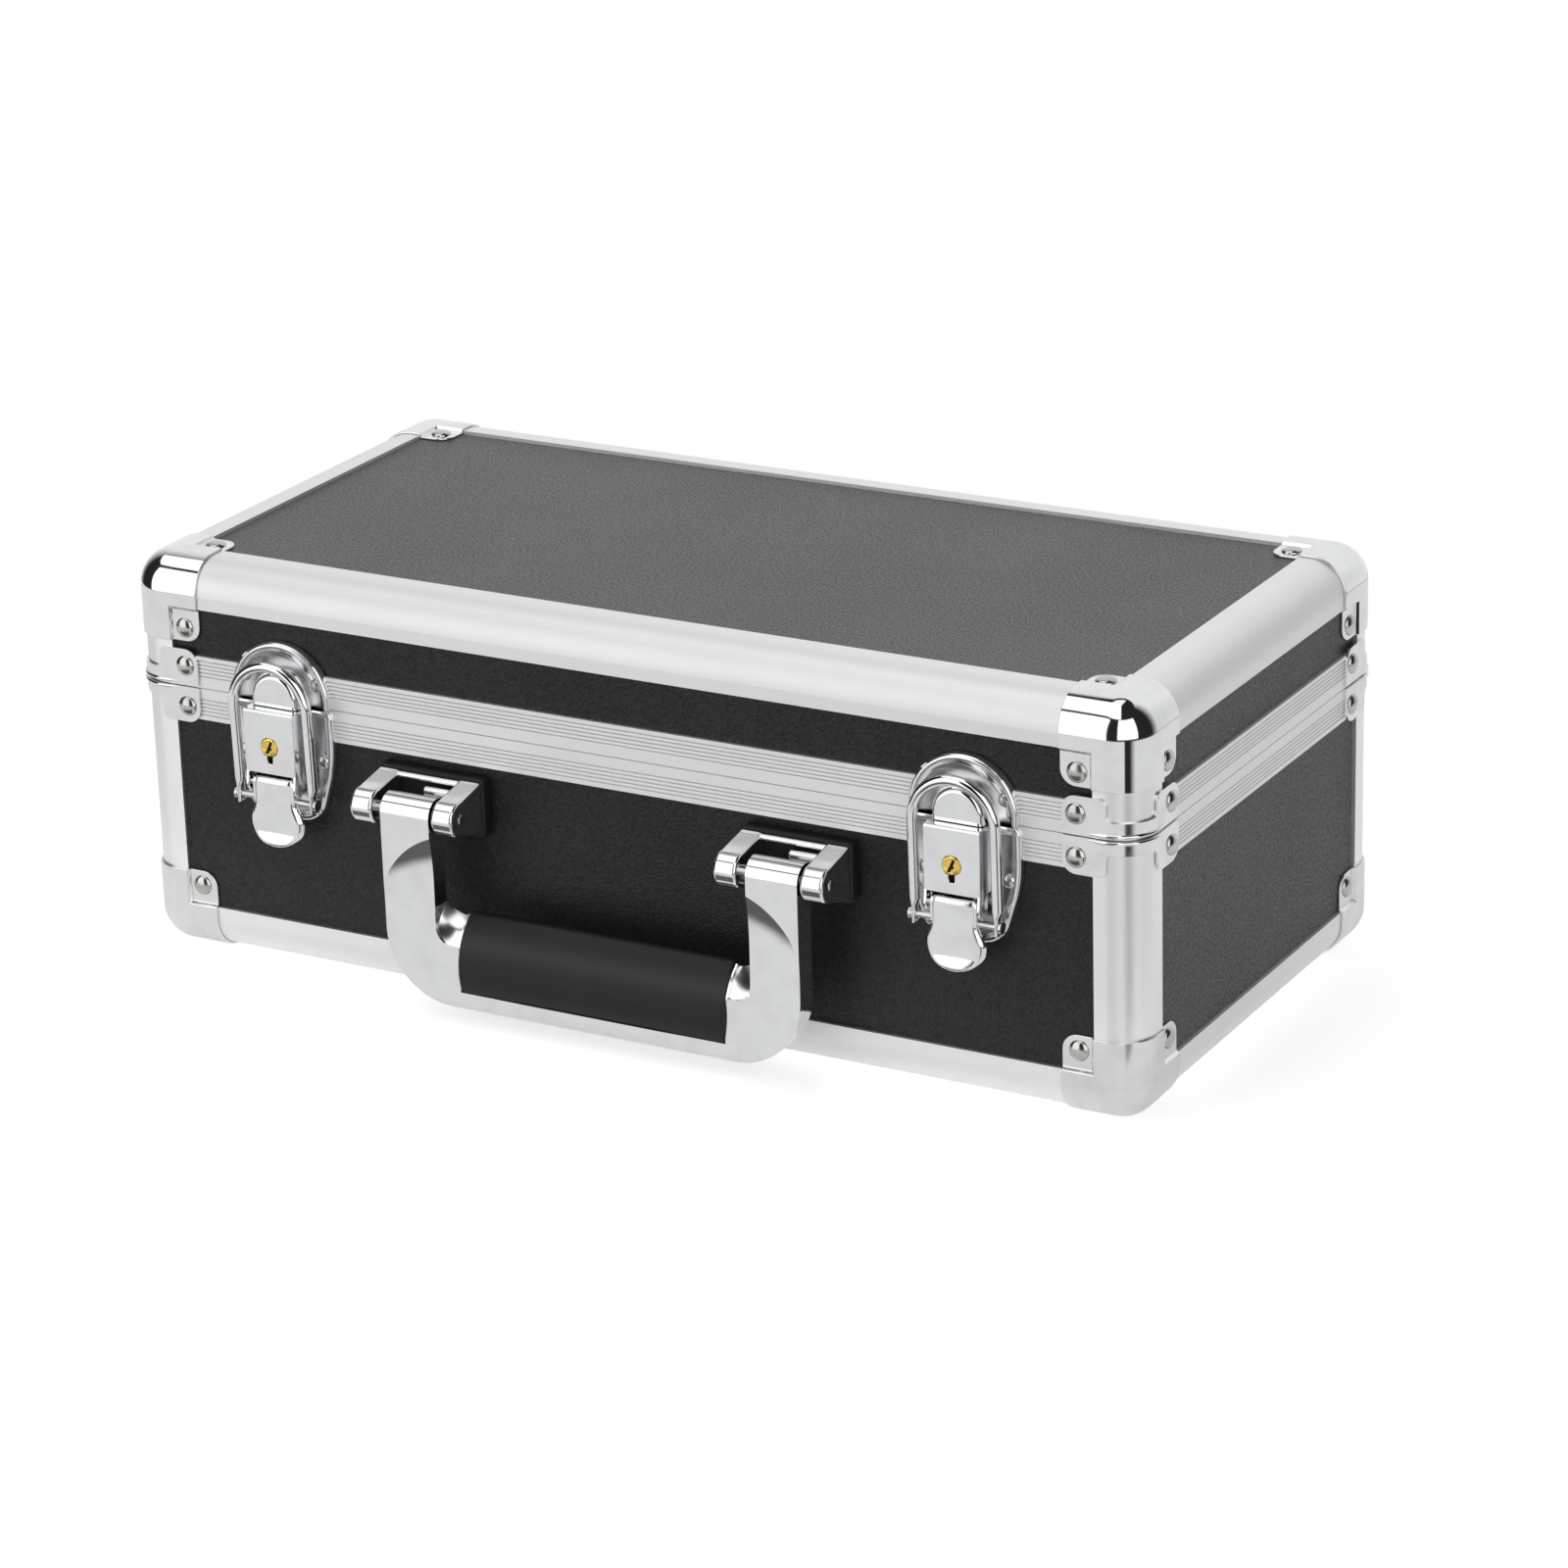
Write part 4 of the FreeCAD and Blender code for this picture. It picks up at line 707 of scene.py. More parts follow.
    def finish(self, name: str, body: str, finish: Finish, slot: str, nodes: Sequence[str] = (),
               sharp: float = 40.0) -> bpy.types.Object:
        """Makes the form an object of the scene.

        Args:
            name: name of the piece.
            body: body that it rides on.
            finish: its finish.
            slot: name of a material slot; not used.
            nodes: CAD nodes that it stands for.
            sharp: angle in degrees past which an edge stays sharp.

        Returns:
            The object.
        """
        bmesh.ops.scale(self.bm, vec=(MM, MM, MM), verts=self.bm.verts[:])
        mesh = bpy.data.meshes.new(name)
        self.bm.to_mesh(mesh)
        self.bm.free()
        mesh.shade_smooth()
        mesh.set_sharp_from_angle(angle=math.radians(sharp))
        piece = bpy.data.objects.new(name, mesh)
        bpy.context.scene.collection.objects.link(piece)
        mesh.materials.append(finish.material())
        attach(piece, body)
        if nodes:
            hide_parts(*nodes)
        LOG.info("%s rides on %s in %s", name, body, finish.name)
        return piece


def thicken(piece: bpy.types.Object, wall: float) -> None:
    """Gives an open shell a wall behind its outer face, in millimetres."""
    step = piece.modifiers.new("wall", "SOLIDIFY")
    step.thickness, step.offset, step.use_even_offset = wall * MM, -1.0, True


def soften(piece: bpy.types.Object, width: float, steps: int = 2, angle: float = 40.0) -> None:
    """Rounds the edges past an angle and keeps the broad faces flat.

    Args:
        piece: piece that gets the modifiers.
        width: width of the rounding in millimetres.
        steps: number of faces across it.
        angle: the angle in degrees.
    """
    step = piece.modifiers.new("soft_edges", "BEVEL")
    step.width, step.segments, step.limit_method = width * MM, steps, "ANGLE"
    step.angle_limit, step.profile = math.radians(angle), 0.5
    normals = piece.modifiers.new("even_shading", "WEIGHTED_NORMAL")
    normals.keep_sharp = True


def carve(form: Form, tool: Form, operation: str) -> Form:
    """Joins or cuts two closed forms and uses both up.

    Args:
        form: form that is worked on.
        tool: form that is cut away or joined.
        operation: UNION, DIFFERENCE or INTERSECT.

    Returns:
        The new form.
    """
    shapes = []
    for one in (form, tool):
        one.tidy()
        mesh = bpy.data.meshes.new("carving")
        one.bm.to_mesh(mesh)
        one.bm.free()
        shapes.append(bpy.data.objects.new("carving", mesh))
        bpy.context.scene.collection.objects.link(shapes[-1])
    step = shapes[0].modifiers.new("carving", "BOOLEAN")
    step.operation, step.object, step.solver = operation, shapes[1], "EXACT"
    carved = bpy.data.meshes.new_from_object(shapes[0].evaluated_get(bpy.context.evaluated_depsgraph_get()))
    result = Form()
    result.bm.from_mesh(carved)
    bpy.data.meshes.remove(carved)
    for shape in shapes:
        mesh = shape.data
        bpy.data.objects.remove(shape)
        bpy.data.meshes.remove(mesh)
    return result


def smooth_rise(place: float) -> float:
    """Smooth step from 0 to 1."""
    held = min(max(place, 0.0), 1.0)
    return held * held * (3.0 - 2.0 * held)


def dress(node: str, finish: Finish) -> None:
    """Gives a CAD node that stays in view its finish.

    Args:
        node: name of the node.
        finish: its finish.
    """
    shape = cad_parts[node]
    shape.data.materials.clear()
    shape.data.materials.append(finish.material())
    LOG.info("%s wears %s", node, finish.name)


@dataclass
class Case:
    """Boards, rails, rims and posts, which stay as the CAD has them."""

    walls: tuple[str, ...] = ("front", "back", "left", "right")

    def dress(self) -> None:
        """Finishes of the boards and the aluminium sections."""
        for wall in self.walls:
            long = wall in ("front", "back")
            section = RAIL_X if long else RAIL_Y
            for part in ("base", "lid"):
                # The end boards wear the paler end copy of the laminate, which is painted light.
                dress(f"{part}_{wall}_panel", LAMINATE if long else LAMINATE_END_PAINTED_LIGHT)
                dress(f"{part}_edge_{wall}", section)
                dress(f"{part}_rim_{wall}", RIM_X if long else RIM_Y)
        dress("floor_panel", LAMINATE)
        # The top board wears the paler top copy of the laminate, which is painted light.
        dress("top_panel", LAMINATE_TOP_PAINTED_LIGHT)
        for post in ("base_corner_posts", "lid_corner_posts"):
            dress(post, RAIL_Z)


@dataclass
class CornerFittings:
    """Ball corners on the lid, caps under the base, brackets at the seam and all the rivets."""

    skin: float = 0.8
    wall: float = 0.74
    round: float = 11.8
    reach: float = 25.5
    ball_drop: float = 26.3
    cap_rise: float = 26.4
    rail_face: float = 15.0
    recess: float = 1.2
    ramp: float = 0.7
    tab_round: float = 5.0
    edge: float = 0.22
    bracket_reach: float = 24.5
    bracket_rounds: tuple[float, float, float] = (4.5, 2.6, 2.0)
    notch: float = 10.4
    lid_band: float = 5.5
    lid_rise: float = 12.5
    base_band: float = 4.5
    base_drop: float = 11.7
    half_gap: float = 0.1
    curl: float = 0.62
    curl_gap: float = 0.4
    curl_depth: float = 0.1
    curl_inset: float = 8.0
    curl_taper: float = 4.0
    rivet_radius: float = 3.3
    rivet_height: float = 1.3
    rivet_inset: float = 20.0
    rivet_seat: float = -0.4
    ball_rivet_drop: float = 21.7
    cap_rivet_rise: float = 21.6
    lid_rivet_rise: float = 7.0
    base_rivet_drop: float = 6.4
    slot: Pair = (1.2, 5.2)
    slot_end: float = 6.0
    plug: Pair = (0.15, 1.6)

    def shell(self, face: float, up: int, depth: float, flat_tab: bool) -> Form:
        """Pressed corner with tabs that step down onto the boards.

        Args:
            face: height of the case's top or underside.
            up: 1 for the top, -1 for the underside.
            depth: how far it comes down or up the post.
            flat_tab: whether the top has a tab as well.

        Returns:
            The open shell at all four corners.
        """
        form = Form()
        tip_z = face + up * self.skin
        ends = sorted((face - up * depth, tip_z))
        low = (SIDE - self.reach, FRONT - self.skin, ends[0])
        high = (SIDE + self.skin, FRONT + self.reach, ends[1])
        form.box(low, high)
        form.drop(lambda one: one.normal.x < -0.5 or one.normal.y > 0.5 or one.normal.z * up < -0.5)
        tip = Vector((SIDE + self.skin, FRONT - self.skin, tip_z))
        form.round_edges(lambda one: any((vert.co - tip).length < NEAR for vert in one.verts), self.round, 14)
        heart = tip - Vector((self.round, -self.round, up * self.round))

        def on_ball(place: Vector) -> Vector:
            """Puts the rounded tip's vertices on a ball.

            Args:
                place: where a vertex is.

            Returns:
                Where it goes.
            """
            out = place - heart
            if out.x < -NEAR or out.y > NEAR or out.z * up < -NEAR:
                return place
            return heart + out.normalized() * self.round

        form.move(on_ball)
        tab_x, tab_y, tab_z = SIDE - self.rail_face, FRONT + self.rail_face, face - up * self.rail_face
        form.slice(Axis.X, [tab_x])
        form.slice(Axis.Y, [tab_y])
        form.slice(Axis.Z, [tab_z])

        def in_tab(one: bmesh.types.BMFace, skip: int) -> bool:
            """Says whether a face lies on a tab.

            Args:
                one: the face.
                skip: number of the axis that the tab stands across.

            Returns:
                Whether it does.
            """
            middle = one.calc_center_median()
            inside = (middle.x < tab_x, middle.y > tab_y, (middle.z - tab_z) * up < 0)
            return all(hit for index, hit in enumerate(inside) if index != skip)

        tabs = [(1, (0, -1, 0)), (0, (1, 0, 0))] + ([(2, (0, 0, 1))] if flat_tab else [])
        for skip, way in tabs:
            faces = [one for one in form.bm.faces if one.normal.dot(Vector(way)) > 0.99 and in_tab(one, skip)]
            bmesh.ops.inset_region(form.bm, faces=faces, thickness=self.ramp, depth=-self.recess,
                                   use_boundary=False, use_even_offset=True)
        end_z = face - up * depth
        corners = [(low[0], FRONT - self.skin + self.recess, end_z),
                   (SIDE + self.skin - self.recess, high[1], end_z)]
        corners.append((low[0], high[1], tip_z - up * (self.recess if flat_tab else 0.0)))
        form.round_points(corners, self.tab_round, 8)
        form.four_corners()
        return form

    def layout(self) -> Pair:
        """Flat length of each straight part of a bracket and of its bend."""
        return (self.bracket_reach + self.skin - self.round, self.round * math.pi / 2)

    def bracket(self, seam: float, band: float, end: float) -> Form:
        """Band round the corner at the seam with two tabs, notched where the post shows.

        Args:
            seam: height of its edge at the seam.
            band: height of the band's other edge.
            end: height of the tabs' ends.

        Returns:
            The open shell at all four corners.
        """
        form = Form()
        straight, bend = self.layout()
        total = 2 * straight + bend
        cut_in, cut_out = self.bracket_reach - self.notch, total - self.bracket_reach + self.notch
        points = [(0, seam), (total, seam), (total, end), (cut_out, end), (cut_out, band), (cut_in, band),
                  (cut_in, end), (0, end)]
        if end < seam:
            points.reverse()
        form.outline([(along, 0, height) for along, height in points])
        outer, inner, hollow = self.bracket_rounds
        form.round_points([(0, 0, end), (total, 0, end)], outer, 8)
        form.round_points([(cut_in, 0, end), (cut_out, 0, end)], inner, 6)
        form.round_points([(cut_in, 0, band), (cut_out, 0, band)], hollow, 6)
        self.wrap(form)
        form.four_corners()
        return form

    def wrap(self, form: Form) -> None:
        """Bends a form round the front right corner.

        Args:
            form: form laid out flat along X, with its depth behind the skin as Y.
        """
        straight, bend = self.layout()
        steps = 18
        form.slice(Axis.X, [straight + bend * index / steps for index in range(steps + 1)])
        centre = Vector((SIDE + self.skin - self.round, FRONT - self.skin + self.round, 0.0))
        for vert in form.bm.verts:
            along, radius = vert.co.x, self.round - vert.co.y
            turn = min(max((along - straight) / self.round, 0.0), math.pi / 2)
            before, after = min(along - straight, 0.0), max(along - straight - bend, 0.0)
            vert.co = centre + Vector((radius * math.sin(turn) + before, after - radius * math.cos(turn),
                                       vert.co.z))

    def curled(self, height: float) -> Form:
        """Curled edge of a bracket beside the seam.

        Args:
            height: height of the curl's middle.

        Returns:
            The curl at all four corners.
        """
        form = Form()
        straight, bend = self.layout()
        total = 2 * straight + bend
        low, high = self.curl_inset, total - self.curl_inset
        form.rod(Axis.X, self.curl, low, high, (self.curl_depth, height), 16)
        form.slice(Axis.X, [low + self.curl_taper, high - self.curl_taper])
        tips = [vert for vert in form.bm.verts if vert.co.x < low + 1.0 or vert.co.x > high - 1.0]
        bmesh.ops.scale(form.bm, vec=(1.0, 0.25, 0.25), verts=tips,
                        space=Matrix.Translation((0, -self.curl_depth, -height)))
        form.tidy()
        self.wrap(form)
        form.four_corners()
        return form

    def rivets(self, heights: Sequence[Pair], top: bool) -> Form:
        """Rivets at the corners.

        Args:
            heights: height of each pair and how far its seat stands out of the rails' face.
            top: whether a rivet also holds the tab on the top.

        Returns:
            The rivets' heads.
        """
        form = Form()
        x, y = SIDE - self.rivet_inset, FRONT + self.rivet_inset
        places = []
        for height, seat in heights:
            places += [((x, FRONT - seat, height), (0, -1, 0)), ((SIDE + seat, y, height), (1, 0, 0))]
        if top:
            places.append(((x, y, TOP + self.rivet_seat), (0, 0, 1)))
        for seat, way in places:
            form.dome(seat, way, self.rivet_radius, self.rivet_height)
        form.four_corners()
        return form

    def plugs(self, way: int) -> Form:
        """Plugs that close the posts' board slots at the seam.

        Args:
            way: 1 for the lid's posts, -1 for the base's.

        Returns:
            The plugs at all four corners.
        """
        form = Form()
        low, high = sorted(SEAM + way * away for away in self.plug)
        outer, inner = self.slot
        form.box((SIDE - self.rail_face, FRONT + outer, low), (SIDE - self.slot_end, FRONT + inner, high))
        form.box((SIDE - inner, FRONT + self.slot_end, low), (SIDE - outer, FRONT + self.rail_face, high))
        form.four_corners()
        form.tidy()
        return form

    def build(self) -> None:
        """Makes the fittings."""
        for way, body in ((1, "lid"), (-1, "base")):
            self.plugs(way).finish(f"{body}_slot_plugs", body, RAIL_Z, "aluminium")
        ball = self.shell(TOP, 1, self.ball_drop, True).finish(
            "ball_corners", "lid", CHROME, "chrome", ["lid_ball_corners"])
        caps = self.shell(UNDERSIDE, -1, self.cap_rise, False).finish(
            "corner_caps", "base", SATIN, "chrome", ["base_corner_caps"])
        lid_seam, base_seam = SEAM + 2 * self.curl_gap, SEAM - self.half_gap
        lid_bracket = self.bracket(lid_seam, SEAM + self.lid_band, SEAM + self.lid_rise).finish(
            "lid_brackets", "lid", SATIN, "chrome", ["lid_rim_brackets"])
        base_bracket = self.bracket(base_seam, SEAM - self.base_band, SEAM - self.base_drop).finish(
            "base_brackets", "base", SATIN, "chrome", ["base_rim_brackets"])
        self.curled(lid_seam + self.curl).finish("lid_curls", "lid", CHROME, "chrome", sharp=60.0)
        self.curled(SEAM - self.curl).finish("base_curls", "base", CHROME, "chrome", sharp=60.0)
        heights = [(TOP - self.ball_rivet_drop, self.rivet_seat), (SEAM + self.lid_rivet_rise, self.skin)]
        self.rivets(heights, True).finish("lid_rivet_heads", "lid", NICKEL, "nickel", ["lid_rivets"])
        heights = [(UNDERSIDE + self.cap_rivet_rise, self.rivet_seat), (SEAM - self.base_rivet_drop, self.skin)]
        self.rivets(heights, False).finish("base_rivet_heads", "base", NICKEL, "nickel", ["base_rivets"])
        for piece in (ball, caps, lid_bracket, base_bracket):
            thicken(piece, self.wall)
            soften(piece, self.edge)


@dataclass
class DrawLatch:
    """Key-lock draw latch: strike on the lid; plate, housing, cylinder, lever and bail on the base."""

    side: str
    x: float
    bed: float = 0.9
    close: float = 0.15
    over: float = 1.0
    flange_half: float = 17.9
    flange_low: float = 0.12
    flange_straight: float = 2.0
    flange_edge: float = 1.25
    flange_rings: tuple[Pair, ...] = ((0.25, 0.45), (0.35, 0.3), (0.45, 0.12), (0.5, -0.08), (0.5, -0.3),
                                      (0.6, -0.42), (0.9, -0.36), (1.4, -0.26), (2.0, -0.1))
    lug: tuple[float, float, float] = (1.1, 0.9, 0.7)
    lug_place: tuple[float, float, float] = (11.9, 1.1, 14.4)
    lug_turn: float = 44.0
    boss_half: float = 8.55
    boss_low: float = -0.1
    boss_bed: float = 0.3
    boss_straight: float = 2.4
    boss_reach: float = 5.6
    boss_round: float = 1.9
    plate_half: float = 18.6
    plate_top: float = 0.12
    plate_shoulder: float = 18.0
    plate_tip_half: float = 12.4
    plate_drop: float = 38.0
    plate_edge: float = 1.0
    plate_rings: tuple[Pair, ...] = ((0.25, 0.4), (0.4, 0.25), (0.5, 0.05), (0.5, -0.1), (0.6, -0.3),
                                     (0.7, -0.2))
    plate_rounds: tuple[float, float, float] = (6.5, 5.0, 3.0)
    housing_half: float = 9.2
    housing_top: float = 0.3
    housing_low: float = 21.0
    housing_reach: float = 9.2
    housing_back: float = 1.0
    housing_round: float = 0.8
    sheet: float = 1.0
    slot: tuple[float, float, float] = (0.95, 5.4, 0.9)
    # Box of painted shade behind the key slot.
    shade_block_half: float = 4.5
    shade_block_depth: Pair = (0.9, 3.5)
    shade_block_drop: Pair = (7.5, 3.2)
    cheek: tuple[Pair, ...] = ((4.2, -20.4), (4.2, -27.8), (9.8, -27.8), (9.8, -24.8), (9.2, -20.4))
    cheek_round: float = 2.7
    lever_drop: float = 25.0
    lever_rise: float = 3.2
    lever_face: float = 9.0
    lever_half: float = 7.6
    lever_wall: float = 0.8
    ear: tuple[Pair, ...] = ((4.1, -22.6), (4.1, -32.4), (8.6, -32.4), (8.6, -22.6))
    ear_round: float = 2.0
    flare_half: float = 9.85
    waist_drop: float = 29.0
    flare_drop: float = 37.5
    tip_drop: float = 45.5
    tip_power: float = 2.2
    crease_drop: float = 40.0
    lip: float = 1.3
    lip_bend: float = 0.06
    roll: Pair = (2.4, 2.6)
    rolled_edge: float = 1.9
    side_depth: float = 1.5
    tip_depth: float = 1.2
    pillow: float = 0.55
    bail_reach: float = 6.5
    bail_drop: float = 30.0
    bail_half: float = 13.5
    bail_leg: float = 30.4
    bail_lean: float = 1.7
    wire: float = 1.7
    eye: float = 1.5
    eye_wall: Pair = (0.4, 1.4)
    eye_top: float = 5.2
    eye_steps: tuple[tuple[float, float, float], ...] = ((1.1, 0.8, 1.05), (1.3, 0.62, 1.1), (1.4, 0.8, 1.0),
                                                         (4.0, 1.0, 1.0))
    lock_drop: float = 12.1
    lock_radius: float = 3.0
    lock_gap: float = 0.05
    lock_out: float = 0.3
    lock_length: float = 6.0
    lock_bevel: float = 0.35
    lock_sink: tuple[Pair, ...] = ((0.35, 0.0), (0.2, -0.25))
    key_turn: float = 24.0
    keyway: tuple[tuple[Pair, Pair], ...] = (((-0.5, -2.2), (0.5, 2.2)), ((-0.4, -0.9), (0.95, 0.2)))
    keyway_depth: float = 2.5
    # Plug of painted shade inside the keyway: its radius, and its near and far ends behind the face.
    keyway_painted_shade: tuple[float, float, float] = (2.5, 0.75, 2.6)
    rivet_radius: float = 2.2
    rivet_height: float = 1.1
    strike_rivets: tuple[Pair, ...] = ((13.4, 7.6),)
    strike_seat: float = 0.8
    plate_rivets: tuple[Pair, ...] = ((14.6, -17.3), (11.2, -33.2))
    plate_seat: float = 1.2

    def at(self, across: float, reach: float, rise: float) -> Point:
        """Point by its place across the latch, out from the front and up from the seam."""
        return (self.x + across, FRONT - reach, SEAM + rise)

    def arch(self, form: Form, half: float, low: float, straight: float, reach: float) -> bmesh.types.BMFace:
        """Round-topped outline standing on a line above the seam.

        Args:
            form: form that gets the outline.
            half: half its width.
            low: height of its foot above the seam.
            straight: height where its arch springs.
            reach: its distance from the front.

        Returns:
            The outline's face.
        """
        tall = straight + half
        form.outline([self.at(-half, reach, low), self.at(half, reach, low), self.at(half, reach, tall),
                      self.at(-half, reach, tall)])
        form.round_points([self.at(half, reach, tall), self.at(-half, reach, tall)], half * 0.998, 20)
        return self.blank(form)

    def blank(self, form: Form) -> bmesh.types.BMFace:
        """Face of a rounded outline, turned to the front.

        Args:
            form: form that holds the outline alone.

        Returns:
            The face.
        """
        bmesh.ops.remove_doubles(form.bm, verts=form.bm.verts[:], dist=self.close)
        face = max(form.bm.faces, key=lambda one: one.calc_area())
        face.normal_update()
        if face.normal.y > 0:
            face.normal_flip()
        return face

    def draw_in(self, form: Form, face: bmesh.types.BMFace, rings: Iterable[Pair], foot: float) -> None:
        """Draws a face in ring by ring.

        Args:
            form: form that has the face.
            face: the face.
            rings: width of each ring and its rise towards the front.
            foot: height of a straight edge that is only drawn in at its ends.
        """
        for width, rise in rings:
            face = form.extrude([face], (0, -rise, 0))[0]
            loop = [corner.vert for corner in face.loops]
            pairs = zip(loop[-1:] + loop[:-1], loop[1:] + loop[:1])
            sides = [(after.co - before.co).normalized() for before, after in pairs]
            for vert, side in zip(loop, sides):
                inward = Vector((0, -1, 0)).cross(side)
                if abs(vert.co.z - foot) < NEAR:
                    inward = Vector((math.copysign(1.0, self.x - vert.co.x), 0, 0))
                vert.co += inward * width

    def strike(self) -> None:
        """Dished flange with a raised rim and lugs, and the boss that the bail hooks over."""
        form = Form()
        face = self.arch(form, self.flange_half, self.flange_low, self.flange_straight, -self.bed)
        rings = ((0.0, self.flange_edge + self.bed), *self.flange_rings)
        self.draw_in(form, face, rings, SEAM + self.flange_low)
        across, reach, rise = self.lug_place
        for hand in (-1, 1):
            lug = form.box(tuple(-half for half in self.lug), self.lug)
            turn = Matrix.Rotation(math.radians(hand * self.lug_turn), 3, "Y")
            bmesh.ops.rotate(form.bm, cent=(0, 0, 0), matrix=turn, verts=lug)
            bmesh.ops.translate(form.bm, vec=self.at(hand * across, reach, rise), verts=lug)
        form.tidy()
        form.finish(f"{self.side}_strike", "lid", SATIN, "chrome", [f"{self.side}_latch_strike"], 62.0)
        boss = Form()
        face = self.arch(boss, self.boss_half, self.boss_low, self.boss_straight, self.boss_bed)
        boss.extrude([face], (0, self.boss_bed - self.boss_reach, 0))
        boss.tidy()
        top = FRONT - self.boss_reach
        foot = SEAM + self.boss_low
        boss.round_edges(lambda one: all(abs(vert.co.y - top) < NEAR for vert in one.verts)
                         and any(vert.co.z > foot + NEAR for vert in one.verts), self.boss_round, 7)
        boss.tidy()
        piece = boss.finish(f"{self.side}_strike_boss", "lid", CHROME, "chrome", sharp=45.0)
        soften(piece, 0.15, 2, 50.0)

    def plate(self) -> None:
        """Plate with a rolled rim, wide at the seam and tapering to its tip."""
        form = Form()
        half, tip, drop = self.plate_half, self.plate_tip_half, self.plate_drop
        corners = [(half, -self.plate_top), (half, -self.plate_shoulder), (tip, -drop), (-tip, -drop),
                   (-half, -self.plate_shoulder), (-half, -self.plate_top)]
        points = [self.at(across, -self.bed, rise) for across, rise in corners]
        form.outline(points)
        at_tip, at_shoulder, at_top = self.plate_rounds
        form.round_points(points[2:4], at_tip, 10)
        form.round_points([points[1], points[4]], at_shoulder, 8)
        form.round_points([points[0], points[5]], at_top, 6)
        self.draw_in(form, self.blank(form), ((0.0, self.plate_edge + self.bed), *self.plate_rings), SEAM)
        form.tidy()
        form.finish(f"{self.side}_plate", "base", SATIN, "chrome", [f"{self.side}_latch_plate"], 62.0)

    def side_plates(self, half: float, corners: Sequence[Pair], rounded: slice, radius: float,
                    steps: int) -> Form:
        """Pair of upright plates, one the mirror image of the other.

        Args:
            half: how far their outer faces are from the latch's middle.
            corners: reach and rise of each corner of their outline.
            rounded: which corners are rounded.
            radius: radius of the rounding.
            steps: number of its edges.

        Returns:
            The plates.
        """
        form = Form()
        for hand in (-1, 1):
            points = [self.at(hand * half, reach, rise) for reach, rise in corners]
            form.outline(points)
            form.round_points(points[rounded], radius, steps)
            face = next(one for one in form.bm.faces if abs(one.calc_center_median().x - points[0][0]) < NEAR)
            form.extrude([face], (-hand * self.sheet, 0, 0))
        form.tidy()
        return form

    def housing(self) -> None:
        """Lock housing with a rounded top, a key slot and two cheeks that carry the lever's pin."""
        half, wall = self.housing_half, self.sheet
        top, low = -self.housing_top, -self.housing_low
        form = Form()
        face_y = FRONT - self.housing_reach
        form.box((self.x - half, face_y, SEAM + low), (self.x + half, FRONT - self.housing_back, SEAM + top))
        form.round_edges(lambda one: all(abs(vert.co.y - face_y) < NEAR and abs(vert.co.z - SEAM - top) < NEAR
                                         for vert in one.verts), self.housing_round, 4)
        hollow = Form()
        inner, over = half - wall, self.over
        hollow.box((self.x - inner, face_y + wall, SEAM + low - 2 * over),
                   (self.x + inner, FRONT + 2 * over, SEAM + top - wall))
        form = carve(form, hollow, "DIFFERENCE")
        slot = Form()
        lock_z = SEAM - self.lock_drop
        slot_half, slot_drop, slot_round = self.slot
        foot = lock_z - slot_drop
        slot.box((self.x - slot_half, face_y - over, foot), (self.x + slot_half, face_y + 2 * wall, lock_z))
        slot.round_edges(lambda one: all(abs(vert.co.z - foot) < NEAR for vert in one.verts)
                         and abs(one.verts[0].co.y - one.verts[1].co.y) > 1, slot_round, 5)
        form = carve(form, slot, "DIFFERENCE")
        hole = Form()
        hole.rod(Axis.Y, self.lock_radius + self.lock_gap, face_y - over, face_y + 2 * wall, (self.x, lock_z))
        form = carve(form, hole, "DIFFERENCE")
        form.tidy()
        # Painted shade: a black block behind the key slot, where the housing holds only shade.
        block = Form()
        depths, drops = self.shade_block_depth, self.shade_block_drop
        block.box((self.x - self.shade_block_half, face_y + wall + depths[0], lock_z - drops[0]),
                  (self.x + self.shade_block_half, face_y + wall + depths[1], lock_z - drops[1]))
        block.finish(f"{self.side}_lock_painted_shade_block", "base", PAINTED_SHADE_RUBBER, "pin_steel")
        piece = form.finish(f"{self.side}_housing", "base", CHROME, "chrome", [f"{self.side}_lock_housing"])
        soften(piece, 0.28, 3, 40.0)
        cheeks = self.side_plates(half, self.cheek, slice(1, 3), self.cheek_round, 8)
        piece = cheeks.finish(f"{self.side}_housing_cheeks", "base", CHROME, "chrome")
        soften(piece, 0.25, 2, 40.0)

    def cylinder(self) -> None:
        """Brass lock cylinder with a bevelled face and a slanting keyway."""
        face = FRONT - self.housing_reach - self.lock_out
        lock_z = SEAM - self.lock_drop
        form = Form()
        form.rod(Axis.Y, self.lock_radius, face, face + self.lock_length, (self.x, lock_z))
        form.tidy()
        form.round_edges(lambda one: all(abs(vert.co.y - face) < NEAR for vert in one.verts),
                         self.lock_bevel, 3)
        front = min(form.bm.faces, key=lambda one: one.calc_center_median().y)
        for width, depth in self.lock_sink:
            bmesh.ops.inset_region(form.bm, faces=[front], thickness=width, depth=depth)
        for low, high in self.keyway:
            key = Form()
            blade = key.box((low[0], face - self.over, low[1]), (high[0], face + self.keyway_depth, high[1]))
            turn = Matrix.Rotation(math.radians(self.key_turn), 3, "Y")
            bmesh.ops.rotate(key.bm, cent=(0, 0, 0), matrix=turn, verts=blade)
            bmesh.ops.translate(key.bm, vec=(self.x, 0, lock_z), verts=blade)
            form = carve(form, key, "DIFFERENCE")
        form.tidy()
